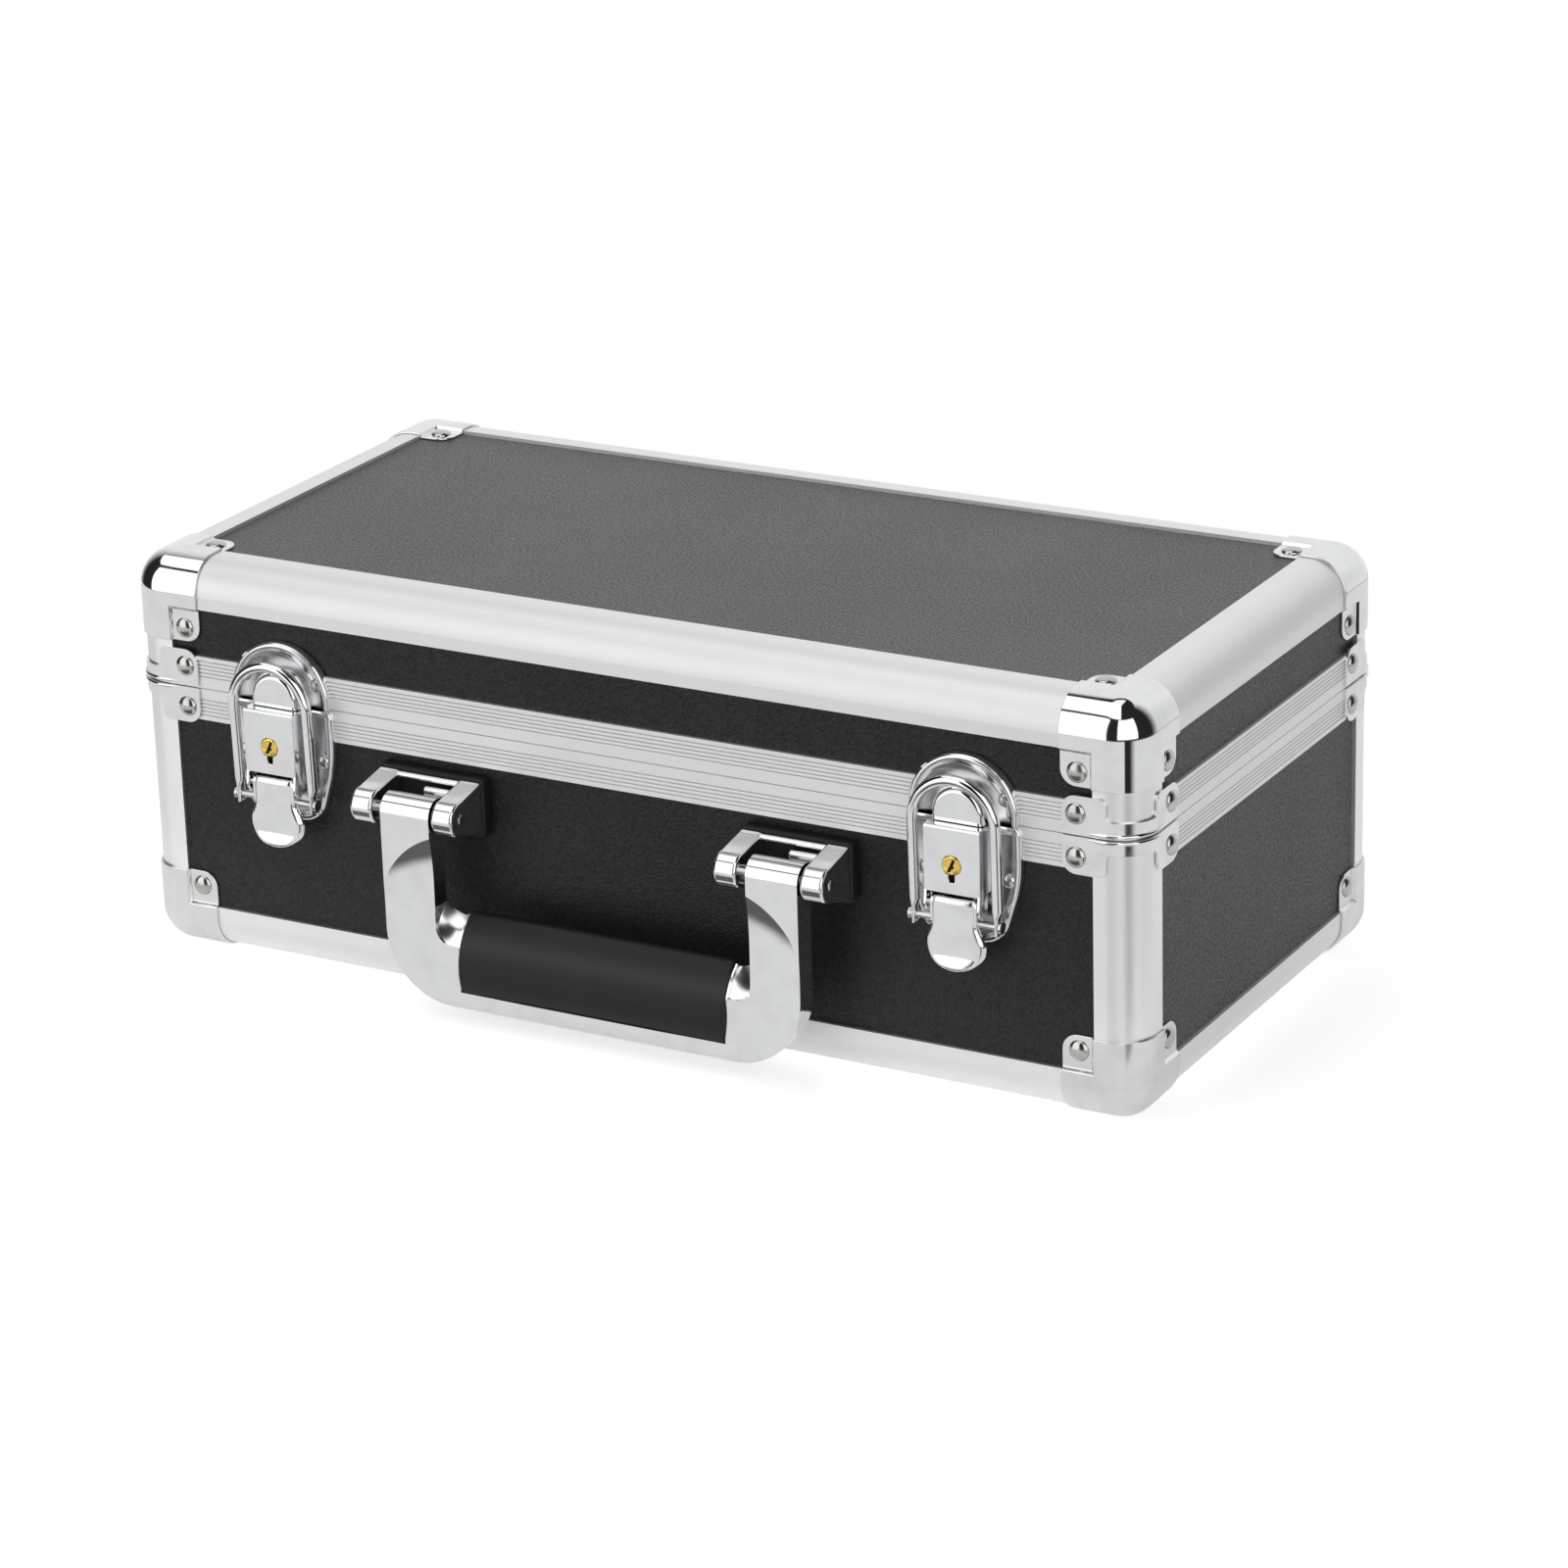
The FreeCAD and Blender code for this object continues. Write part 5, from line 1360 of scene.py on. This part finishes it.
        # Painted shade: a black plug sunk inside the keyway, where there is only shade.
        floor = Form()
        radius, near, far = self.keyway_painted_shade
        floor.rod(Axis.Y, radius, face + near, face + far, (self.x, lock_z))
        floor.finish(f"{self.side}_keyway_painted_shade", f"{self.side}_cylinder", PAINTED_SHADE_RUBBER, "pin_steel")
        form.finish(f"{self.side}_cylinder", f"{self.side}_cylinder", BRASS, "brass",
                    [f"{self.side}_lock_cylinder"], 30.0)

    def lever(self) -> None:
        """Pressed lever: rolled top, soft pillow of a face and a thumb end bent forward."""
        top = -self.lever_drop + self.lever_rise
        form = Form()
        bmesh.ops.create_grid(form.bm, x_segments=24, y_segments=48, size=1.0)

        def pressed(place: Vector) -> Vector:
            """Presses the flat sheet into the lever's shape.

            Args:
                place: where a vertex is on the sheet, from -1 to 1 each way.

            Returns:
                Where it goes.
            """
            across, down = place.x, (1.0 - place.y) / 2
            length = top + self.tip_drop
            rise = top - down * length
            flare = smooth_rise((-rise - self.waist_drop) / (self.flare_drop - self.waist_drop))
            half = self.lever_half + (self.flare_half - self.lever_half) * flare
            end = (-rise - self.flare_drop) / (self.tip_drop - self.flare_drop)
            if end > 0:
                half *= math.sqrt(max(1.0 - end ** self.tip_power, 0.0)) * (1.0 - NEAR) + NEAR
            reach = self.lever_face - self.pillow
            roll_length, roll_depth = self.roll
            bent = max((-rise - self.crease_drop) / (self.tip_drop - self.crease_drop), 0.0)
            reach += self.lip * (math.sqrt(bent * bent + self.lip_bend) - math.sqrt(self.lip_bend))
            side = (1.0 - abs(across)) * half / self.rolled_edge
            tip = (self.tip_drop + rise) / self.rolled_edge
            falls = ((roll_depth, (top - rise) / roll_length), (self.side_depth, side), (self.tip_depth, tip))
            for depth, inward in falls:
                reach -= depth * (1.0 - math.sqrt(max(1.0 - (1.0 - min(inward, 1.0)) ** 2, 0.0)))
            reach += self.pillow * (1.0 - across * across)
            return Vector(self.at(across * half, reach, rise))

        form.move(pressed)
        form.tidy(False)
        bmesh.ops.recalc_face_normals(form.bm, faces=form.bm.faces[:])
        if sum(one.normal.y for one in form.bm.faces) > 0:
            bmesh.ops.reverse_faces(form.bm, faces=form.bm.faces[:])
        piece = form.finish(f"{self.side}_lever", f"{self.side}_lever", LEVER, "chrome",
                            [f"{self.side}_latch_lever"], 80.0)
        thicken(piece, self.lever_wall)
        soften(piece, 0.2, 2, 60.0)
        ears = self.side_plates(self.lever_half, self.ear, slice(None), self.ear_round, 6)
        piece = ears.finish(f"{self.side}_lever_ears", f"{self.side}_lever", CHROME, "chrome")
        soften(piece, 0.2, 2, 40.0)

    def bail(self) -> None:
        """Wire bail with flattened eyes on the cross pin."""
        form = Form()
        rise = self.eye_top
        ring = bmesh.ops.create_circle(form.bm, cap_ends=False, segments=20, radius=self.wire)["verts"]
        bmesh.ops.translate(form.bm, vec=(self.bail_half, 0, rise), verts=ring)
        upper, loop = form.pull(form.bm.edges[:], (0, 0, self.bail_leg - rise))
        turned = bmesh.ops.spin(form.bm, geom=upper + loop, cent=(0, 0, self.bail_leg), axis=(0, -1, 0),
                                angle=math.pi, steps=36, use_merge=False)["geom_last"]
        far_edges = [item for item in turned if isinstance(item, bmesh.types.BMEdge)]
        form.pull(far_edges, (0, 0, rise - self.bail_leg))
        for hand in (-1, 1):
            foot = [edge for edge in form.bm.edges if edge.is_boundary and edge.verts[0].co.x * hand > 0]
            for step, flat, broad in self.eye_steps:
                verts, foot = form.pull(foot, (0, 0, -step))
                bmesh.ops.scale(form.bm, vec=(flat, broad, 1.0), verts=verts,
                                space=Matrix.Translation((-hand * self.bail_half, 0, 0)))
            bmesh.ops.holes_fill(form.bm, edges=foot, sides=0)
            ends = sorted(hand * (self.bail_half + away) for away in self.eye_wall)
            form.rod(Axis.X, self.eye, ends[0], ends[1], (0.0, 0.0), 36)
        form.tidy()
        turn = Matrix.Rotation(math.radians(self.bail_lean), 3, "X")
        bmesh.ops.rotate(form.bm, cent=(0, 0, 0), matrix=turn, verts=form.bm.verts[:])
        bmesh.ops.translate(form.bm, vec=self.at(0, self.bail_reach, -self.bail_drop), verts=form.bm.verts[:])
        piece = form.finish(f"{self.side}_bail_wire", f"{self.side}_bail", CHROME, "chrome",
                            [f"{self.side}_latch_bail"], 50.0)
        soften(piece, 0.25, 2, 60.0)

    def rivets(self) -> None:
        """Small round heads on the strike and the plate."""
        for part, body, seat, places in (("strike", "lid", self.strike_seat, self.strike_rivets),
                                         ("plate", "base", self.plate_seat, self.plate_rivets)):
            form = Form()
            for across, rise in places:
                for hand in (-1, 1):
                    head = self.at(hand * across, seat, rise)
                    form.dome(head, (0, -1, 0), self.rivet_radius, self.rivet_height)
            form.finish(f"{self.side}_{part}_rivets", body, NICKEL, "nickel")

    def build(self) -> None:
        """Makes the latch."""
        self.strike()
        self.plate()
        self.housing()
        self.cylinder()
        self.lever()
        self.bail()
        self.rivets()
        dress(f"{self.side}_bail_pin", STEEL)


@dataclass
class DropHandle:
    """Die-cast drop handle with a rubber grip, on two clevis brackets with rubber pads."""

    shift: float = 1.3
    offset: float = 63.9
    arm: float = 17.4
    face: float = 20.7
    thickness: float = 8.0
    pivot_reach: float = 15.2
    pivot_drop: float = 22.2
    knuckle: float = 5.5
    low_drop: float = 82.1
    lip: float = 5.1
    corner: float = 23.0
    fork_rise: float = 1.0
    dish_radius: float = 30.0
    dish_margin: float = 2.0
    dish_gap: float = 0.02
    dish_lift: float = 6.0
    dish_depth: float = 2.4
    dish_inset: float = 10.5
    dish_rise: float = 21.0
    dish_rings: int = 39
    dish_spokes: int = 128
    grip_half: float = 46.6
    grip_height: float = 24.0
    grip_reach: float = 21.9
    grip_back: float = 9.5
    grip_round: float = 20.0
    grip_crown: float = 7.4
    grip_edge: float = 2.5
    grip_top_edge: float = 1.0
    grip_gap: float = 0.05
    ring_gap: float = 0.02
    ring_sink: float = 1.1
    ring_width: float = 0.7
    collar_gap: float = 0.3
    collar_bury: float = 0.6
    collar_sink: float = 1.0
    collar_inset: float = 1.6
    collar_lip: float = 0.9
    shoulder: float = 14.5
    shoulder_round: float = 5.5
    flare: float = 4.2
    flare_steps: int = 24
    flare_from: float = 8.0
    flare_over: float = 12.0
    edge: float = 0.9
    edge_angle: float = 0.5
    bracket_half: float = 18.35
    ear: float = 7.6
    ear_radius: float = 5.65
    ear_top: float = 14.2
    ear_low: float = 32.0
    pad_reach: float = 3.0
    pad_margin: float = 0.6
    pad_bed: float = 1.2
    pad_round: float = 1.6
    bar_inset: float = 1.0
    bar_depth: float = 2.0
    bars: tuple[Pair, Pair] = ((31.6, 29.0), (16.4, 14.6))
    stop_length: float = 11.0
    stop_depth: float = 4.5
    stop_span: Pair = (5.6, 2.9)
    bore: float = 1.75
    pin_head: float = 0.6
    pin_sink: float = 0.1
    pin_gap: float = 0.1

    def grip_section(self, form: Form, x: float, inset: float, start_rise: float = 0.0) -> bmesh.types.BMFace:
        """Half-round section of the grip.

        Args:
            form: form that gets the section.
            x: its place along the handle.
            inset: how far it is drawn in.
            start_rise: height above the lip where it starts.

        Returns:
            The section's face.
        """
        lip = SEAM - self.low_drop + self.lip
        foot = lip + start_rise
        centre = Vector((x, FRONT - self.grip_reach + self.grip_round, lip + self.grip_crown))
        radius = self.grip_round - inset
        rise = self.grip_height - inset - self.grip_crown
        low_turn, high_turn = math.asin((self.grip_crown - start_rise) / radius), math.asin(rise / radius)
        start = centre + Vector((0, -math.cos(low_turn), -math.sin(low_turn))) * radius
        front = form.arc(start, centre, (-1, 0, 0), low_turn + high_turn, 32)
        back = FRONT - self.grip_back - inset
        top = lip + self.grip_height - inset
        rear = [form.bm.verts.new((x, back, top)), form.bm.verts.new((x, back, foot))]
        form.bm.faces.new(front + rear)
        form.round_points([(x, back, top)], self.grip_edge, 6)
        form.round_points([tuple(front[-1].co)], self.grip_top_edge, 4)
        return next(one for one in form.bm.faces if abs(one.calc_center_median().x - x) < NEAR)

    def outline(self, form: Form) -> None:
        """U-shaped front outline in convex fields, with shoulders beside the grip.

        Args:
            form: form that gets the outline.
        """
        outer, inner = self.offset + self.arm / 2, self.offset - self.arm / 2
        pivot, low = SEAM - self.pivot_drop, SEAM - self.low_drop
        lip, bend = low + self.lip, low + self.corner
        shoulder = lip + self.shoulder
        face = FRONT - self.face
        feet = []
        for hand in (-1, 1):
            centre = (self.shift + hand * (outer - self.corner), face, bend)
            arc = form.arc((self.shift + hand * outer, face, bend), centre, (0, hand, 0), math.pi / 2, 24)
            fork_top = shoulder + self.shoulder_round + self.fork_rise
            places = [(outer, pivot), (inner, pivot), (inner, fork_top), (inner, shoulder),
                      (self.grip_half, shoulder), (self.grip_half, lip), (self.grip_half, low)]
            top_out, top_in, bend_in, fork, end, foot, under = [
                form.bm.verts.new((self.shift + hand * x, face, z)) for x, z in places]
            split = min(range(len(arc)), key=lambda one: abs(arc[one].co.z - shoulder))
            fillet = self.fillet(form, hand, fork.co)
            form.bm.faces.new([top_out, top_in, bend_in, arc[0]])
            form.bm.faces.new([*arc[:split + 1], fork, fillet[0], bend_in])
            form.bm.faces.new([*arc[split:], under, foot, end, fillet[-1], fork])
            for upper, lower in zip(fillet, fillet[1:]):
                form.bm.faces.new([fork, upper, lower])
            feet += [under, foot]
        form.bm.faces.new([feet[0], feet[1], feet[3], feet[2]])

    def fillet(self, form: Form, hand: int, fork: Vector) -> list[bmesh.types.BMVert]:
        """Hollow curve from the arm's inner edge to the top of its shoulder.

        Args:
            form: form that gets the curve.
            hand: -1 for the left arm, 1 for the right one.
            fork: the inner corner that it fills.

        Returns:
            Its vertices from the arm down to the shoulder.
        """
        start = fork + Vector((0, 0, self.shoulder_round))
        centre = fork + Vector((-hand * self.shoulder_round, 0, self.shoulder_round))
        return form.arc(start, centre, (0, hand, 0), math.pi / 2, 10)

    def collar(self, hand: int) -> Form:
        """Saddle-shaped collar that flares from the grip's end up the arm.

        Args:
            hand: -1 for the left arm, 1 for the right one.

        Returns:
            The collar.
        """
        ring = Form()
        beside = self.shift + hand * (self.grip_half + self.ring_gap)
        section = self.grip_section(ring, beside, self.collar_lip, self.shoulder - self.ring_sink)
        ring.extrude([section], (hand * self.ring_width, 0, 0))
        form = Form()
        lip = SEAM - self.low_drop + self.lip
        start, end = self.grip_half + self.collar_gap, self.offset - self.arm / 2 + self.collar_bury
        section = self.grip_section(form, self.shift + hand * start, self.collar_inset,
                                    self.shoulder - self.collar_sink)
        grown = 0.0
        for step in range(1, self.flare_steps + 1):
            section = form.extrude([section], (hand * (end - start) / self.flare_steps, 0, 0))[0]
            growth = self.flare * (step / self.flare_steps) ** 2
            for vert in section.verts:
                share = smooth_rise((vert.co.z - lip - self.flare_from) / self.flare_over)
                vert.co.z += (growth - grown) * share
            grown = growth
        return carve(form, ring, "UNION")

    def dish(self, hand: int) -> Form:
        """Round cutter that leaves a scoop: steep at its upper rim, flat in the middle, fading out below.

        Args:
            hand: -1 for the left arm, 1 for the right one.

        Returns:
            The cutter.
        """
        form = Form()
        bed = Vector((self.shift + hand * (self.offset - self.arm / 2 - self.dish_inset), FRONT - self.face,
                      SEAM - self.low_drop + self.lip + self.dish_rise))
        reach = Vector((self.dish_radius + self.dish_margin, 0, 0))
        ends = [form.bm.verts.new(bed), form.bm.verts.new(bed + reach)]
        spoke = form.bm.edges.new(ends)
        bmesh.ops.subdivide_edges(form.bm, edges=[spoke], cuts=self.dish_rings)
        bmesh.ops.spin(form.bm, geom=form.bm.verts[:] + form.bm.edges[:], cent=bed, axis=(0, 1, 0),
                       angle=math.tau, steps=self.dish_spokes, use_merge=True)
        form.tidy(False)

        def scooped(place: Vector) -> Vector:
            """Sinks the flat disc into a scoop.

            Args:
                place: where a vertex is on the disc.

            Returns:
                Where it goes.
            """
            away = (place - bed).length / self.dish_radius
            fade = max(0.5 + 0.5 * (place.z - bed.z) / self.dish_radius, 0.0)
            return place + Vector((0, self.dish_depth * (1.0 - away ** 3) * fade - self.dish_gap, 0))

        form.move(scooped)
        rim = [edge for edge in form.bm.edges if edge.is_boundary]
        lifted = form.pull(rim, (0, -self.dish_lift, 0))[1]
        bmesh.ops.holes_fill(form.bm, edges=lifted, sides=0)
        return form

    def frame(self) -> None:
        """Frame with knuckles, dished arms and collars beside the grip."""
        outer, inner = self.offset + self.arm / 2, self.offset - self.arm / 2
        pivot, face = SEAM - self.pivot_drop, FRONT - self.face
        form = Form()
        self.outline(form)
        form.extrude(form.bm.faces[:], (0, self.thickness, 0))
        form.tidy()
        form.round_edges(lambda one: all(abs(vert.co.y - face) < NEAR for vert in one.verts)
                         and any(vert.co.z < pivot - NEAR for vert in one.verts)
                         and one.calc_face_angle(0.0) > self.edge_angle, self.edge, 4)
        for side, hand in (("left", -1), ("right", 1)):
            form = carve(form, self.dish(hand), "DIFFERENCE")
            collar = carve(self.collar(hand), self.dish(hand), "DIFFERENCE")
            collar.finish(f"{side}_collar", "handle", SATIN, "chrome", sharp=32.0)
        for hand in (-1, 1):
            ends = sorted((self.shift + hand * inner, self.shift + hand * outer))
            roll = Form()
            roll.rod(Axis.X, self.knuckle, ends[0], ends[1], (FRONT - self.pivot_reach, pivot), 64)
            form = carve(form, roll, "UNION")
            bore = Form()
            bore.rod(Axis.X, self.bore, ends[0] - 1, ends[1] + 1, (FRONT - self.pivot_reach, pivot), 32)
            form = carve(form, bore, "DIFFERENCE")
        form.tidy()
        piece = form.finish("handle_casting", "handle", CHROME, "chrome", ["handle_frame"], 10.0)
        soften(piece, 0.5, 3, 35.0)

    def grip(self) -> None:
        """Rubber grip."""
        form = Form()
        half = self.grip_half - self.grip_gap
        section = self.grip_section(form, self.shift - half, 0.0)
        form.extrude([section], (2 * half, 0, 0))
        form.tidy()
        piece = form.finish("rubber_grip", "handle", GRIP, "grip_rubber", ["handle_grip"], 50.0)
        soften(piece, 0.8, 3, 50.0)

    def bracket(self, side: str, x: float) -> None:
        """Clevis bracket: two ears with round fronts, two bars behind and a stop.

        Args:
            side: left or right.
            x: its middle.
        """
        pivot_y, pivot_z = FRONT - self.pivot_reach, SEAM - self.pivot_drop
        back = FRONT - self.pad_reach
        form = Form()
        for low in (x - self.bracket_half, x + self.bracket_half - self.ear):
            start = (low, pivot_y, pivot_z + self.ear_radius)
            nose = form.arc(start, (low, pivot_y, pivot_z), (1, 0, 0), math.pi, 24)
            rear = [form.bm.verts.new((low, back, SEAM - drop)) for drop in (self.ear_low, self.ear_top)]
            ear = form.bm.faces.new(nose + rear)
            form.extrude([ear], (self.ear, 0, 0))
        for low, high in self.bars:
            half = self.bracket_half - self.bar_inset
            form.box((x - half, back - self.bar_depth, SEAM - low), (x + half, back, SEAM - high))
        end, top = x + self.bracket_half, SEAM - self.ear_top
        low, high = self.stop_span
        form.box((end - self.ear - self.stop_length, back - self.stop_depth, top - low),
                 (end - self.ear / 2, back, top - high))
        form.tidy()
        piece = form.finish(f"{side}_clevis", "base", LEVER, "chrome", [f"{side}_handle_bracket"], 40.0)
        soften(piece, 1.0, 4, 40.0)

    def pin_heads(self) -> None:
        """Peened ends of the pivot pins."""
        form = Form()
        for x in (-self.offset, self.offset):
            for hand in (-1, 1):
                seat = (x + hand * (self.bracket_half - self.pin_sink), FRONT - self.pivot_reach,
                        SEAM - self.pivot_drop)
                form.dome(seat, (hand, 0, 0), self.bore - self.pin_gap, self.pin_head)
        form.finish("pin_heads", "base", STEEL, "pin_steel", sharp=60.0)

    def pads(self) -> None:
        """Rubber pads under the brackets."""
        form = Form()
        margin = self.pad_margin
        half = self.bracket_half + margin
        for x in (-self.offset, self.offset):
            form.box((x - half, FRONT - self.pad_reach, SEAM - self.ear_low - margin),
                     (x + half, FRONT + self.pad_bed, SEAM - self.ear_top + margin))
        form.tidy()
        form.round_edges(lambda one: abs(one.verts[0].co.y - one.verts[1].co.y) > 1, self.pad_round, 4)
        piece = form.finish("bracket_pads", "base", PAD, "pad_rubber", ["handle_pads"], 40.0)
        soften(piece, 0.8, 3, 40.0)

    def build(self) -> None:
        """Makes the handle."""
        self.frame()
        self.grip()
        self.bracket("left", -self.offset)
        self.bracket("right", self.offset)
        self.pads()
        self.pin_heads()
        dress("handle_pins", STEEL)


@dataclass
class Lining:
    """Foam sheets inside the base and the lid."""

    half_x: float = 168.3
    half_y: float = 79.3
    wall: float = 2.0
    seam_drop: float = 2.0
    skin: float = 6.6
    gap: float = 0.08
    edge: float = 0.7

    def sheets(self, flat: float, edge: float, name: str, body: str, node: str) -> None:
        """Flat sheet and four wall sheets with soft edges.

        Args:
            flat: height of the flat sheet's glued face.
            edge: height of the wall sheets' free edge.
            name: name of the piece.
            body: body that it rides on.
            node: CAD node that it stands for.
        """
        way = 1.0 if edge > flat else -1.0
        inner = flat + way * self.wall
        form = Form()
        span = sorted((flat, inner))
        form.box((-self.half_x, MIDDLE_Y - self.half_y, span[0]),
                 (self.half_x, MIDDLE_Y + self.half_y, span[1]))
        rise = sorted((inner + way * self.gap, edge))
        for hand in (-1, 1):
            x = sorted((hand * self.half_x, hand * (self.half_x - self.wall)))
            form.box((x[0], MIDDLE_Y - self.half_y, rise[0]), (x[1], MIDDLE_Y + self.half_y, rise[1]))
            y = sorted((MIDDLE_Y + hand * self.half_y, MIDDLE_Y + hand * (self.half_y - self.wall)))
            ends = self.half_x - self.wall - self.gap
            form.box((-ends, y[0], rise[0]), (ends, y[1], rise[1]))
        form.bm.normal_update()
        form.round_edges(lambda one: True, self.edge, 3)
        piece = form.finish(name, body, FOAM, "foam", [node], 50.0)

    def build(self) -> None:
        """Makes both linings."""
        self.sheets(UNDERSIDE + self.skin, SEAM - self.seam_drop, "base_foam", "base", "base_lining")
        self.sheets(TOP - self.skin, SEAM + self.seam_drop, "lid_foam", "lid", "lid_lining")


@dataclass
class Studio:
    """White surroundings of soft boxes with dark gaps, a floor, and the camera."""

    eye: Point = (0.7741, -1.34335, 0.6342)
    azimuth: float = 29.453
    elevation: float = 20.512
    roll: float = -1.658
    lens: float = 120.56
    shift: float = -0.0013
    sensor: float = 36.0
    clip: Pair = (0.05, 50.0)
    floor_radius: float = 0.38
    floor_grey: float = 0.80
    floor_glow: Pair = (0.62, 0.3)
    dark: float = 0.02
    table: float = 0.78

    def camera(self) -> None:
        """Camera at the photograph's angle."""
        az, el, roll = (math.radians(angle) for angle in (self.azimuth, self.elevation, self.roll))
        back = Vector((math.sin(az) * math.cos(el), -math.cos(az) * math.cos(el), math.sin(el)))
        right = Vector((0, 0, 1)).cross(back).normalized()
        up = back.cross(right)
        turned_right = right * math.cos(roll) + up * math.sin(roll)
        turned_up = back.cross(turned_right)
        data = bpy.data.cameras.new("camera")
        data.lens, data.sensor_width, data.shift_x = self.lens, self.sensor, self.shift
        data.clip_start, data.clip_end = self.clip
        camera = bpy.data.objects.new("camera", data)
        turn = Matrix((turned_right, turned_up, back)).transposed().to_4x4()
        camera.matrix_world = Matrix.Translation(self.eye) @ turn
        bpy.context.scene.collection.objects.link(camera)
        bpy.context.scene.camera = camera

    def world(self) -> None:
        """White surroundings for the camera; the object sees soft boxes with dark gaps between them."""
        scene = bpy.context.scene
        scene.world = scene.world or bpy.data.worlds.new("studio")
        sheet = NodeSheet(scene.world)
        way = sheet.node("ShaderNodeTexCoord", {}, {}, "Generated")
        x, y, z = (sheet.node("ShaderNodeSeparateXYZ", {}, {0: way}, name) for name in "XYZ")
        degrees = 180.0 / math.pi
        azimuth = sheet.node("ShaderNodeMath", {"operation": "ARCTAN2"}, {0: x, 1: 0.0 - y}) * degrees
        elevation = sheet.node("ShaderNodeMath", {"operation": "ARCSINE"}, {0: z}) * degrees
        above_table = elevation.step(-15.0, -12.0)
        key_box = azimuth.between(15.0, 73.0, 2.0) * elevation.between(-9.0, 46.0, 2.0) * 1.45
        side_box = azimuth.between(-54.0, -16.0, 2.0) * above_table
        side_box = side_box * (1.0 - elevation.step(42.0, 44.0)) * 1.45
        top_box = azimuth.between(-108.0, 24.0, 3.0) * elevation.step(47.0, 49.0) * 1.3
        crown = (1.0 - azimuth.step(20.0, 26.0)) * elevation.step(65.0, 68.0) * 1.1
        backdrop = (azimuth.step(116.0, 160.0) + (1.0 - azimuth.step(-140.0, -92.0))) * 0.9
        backdrop = backdrop * above_table * (1.0 - elevation.step(57.0, 62.0))
        streak = azimuth.step(32.0, 37.0) * (1.0 - azimuth.step(48.0, 68.0)) * elevation.step(-50.0, -35.0)
        front = azimuth.between(-62.0, 2.0, 4.0) * elevation.between(-64.0, -30.0, 2.5)
        table = (1.0 - above_table) * (self.table - streak * 0.76 - front * 0.66)
        level = key_box.greatest(side_box).greatest(top_box).greatest(crown)
        level = level.greatest(backdrop).greatest(table).greatest(self.dark)
        camera, clear = (sheet.node("ShaderNodeLightPath", {}, {}, name)
                         for name in ("Is Camera Ray", "Is Transmission Ray"))
        seen = camera.greatest(clear)
        strength = seen + (1.0 - seen) * level
        lit = sheet.node("ShaderNodeBackground", {}, {"Color": grey(1.0), "Strength": strength})
        sheet.node("ShaderNodeOutputWorld", {}, {"Surface": lit})

    def floor(self) -> None:
        """Plain white floor that keeps the object's shadow."""
        shape = bmesh.new()
        bmesh.ops.create_circle(shape, cap_ends=True, segments=96, radius=self.floor_radius)
        mesh = bpy.data.meshes.new("floor")
        shape.to_mesh(mesh)
        shape.free()
        floor = bpy.data.objects.new("floor", mesh)
        bpy.context.scene.collection.objects.link(floor)
        paint = bpy.data.materials.new("floor_paint")
        sheet = NodeSheet(paint)
        camera, glossy = (sheet.node("ShaderNodeLightPath", {}, {}, name)
                          for name in ("Is Camera Ray", "Is Glossy Ray"))
        to_camera, to_gloss = self.floor_glow
        matt = sheet.node("ShaderNodeBsdfDiffuse", {}, {"Color": grey(self.floor_grey)})
        strength = camera * to_camera + glossy * to_gloss
        glow = sheet.node("ShaderNodeEmission", {}, {"Color": grey(1.0), "Strength": strength})
        white = sheet.node("ShaderNodeAddShader", {}, {0: matt, 1: glow})
        clear = sheet.node("ShaderNodeBsdfTransparent", {}, {})
        far = 1.0 - sheet.along(Axis.Y).step(FRONT - 44.0, FRONT - 36.0)
        sheet.close(sheet.node("ShaderNodeMixShader", {}, {0: glossy * far, 1: white, 2: clear}))
        mesh.materials.append(paint)

    def build(self) -> None:
        """Sets the stage."""
        bpy.context.scene.view_settings.view_transform = "Standard"
        self.camera()
        self.world()
        self.floor()


def main() -> None:
    """Builds the stage and the object's pieces, and reports each."""
    logging.basicConfig(level=logging.INFO, format="%(name)s: %(message)s")
    Studio().build()
    Case().dress()
    CornerFittings().build()
    DrawLatch("left", -119.0).build()
    DrawLatch("right", 119.0).build()
    DropHandle().build()
    Lining().build()
    for node in ("hinge_base_leaves", "hinge_lid_leaves"):
        dress(node, SATIN)
    for node in ("hinge_pins", "latch_lever_pins"):
        dress(node, STEEL)


if __name__ == "__main__":
    main()
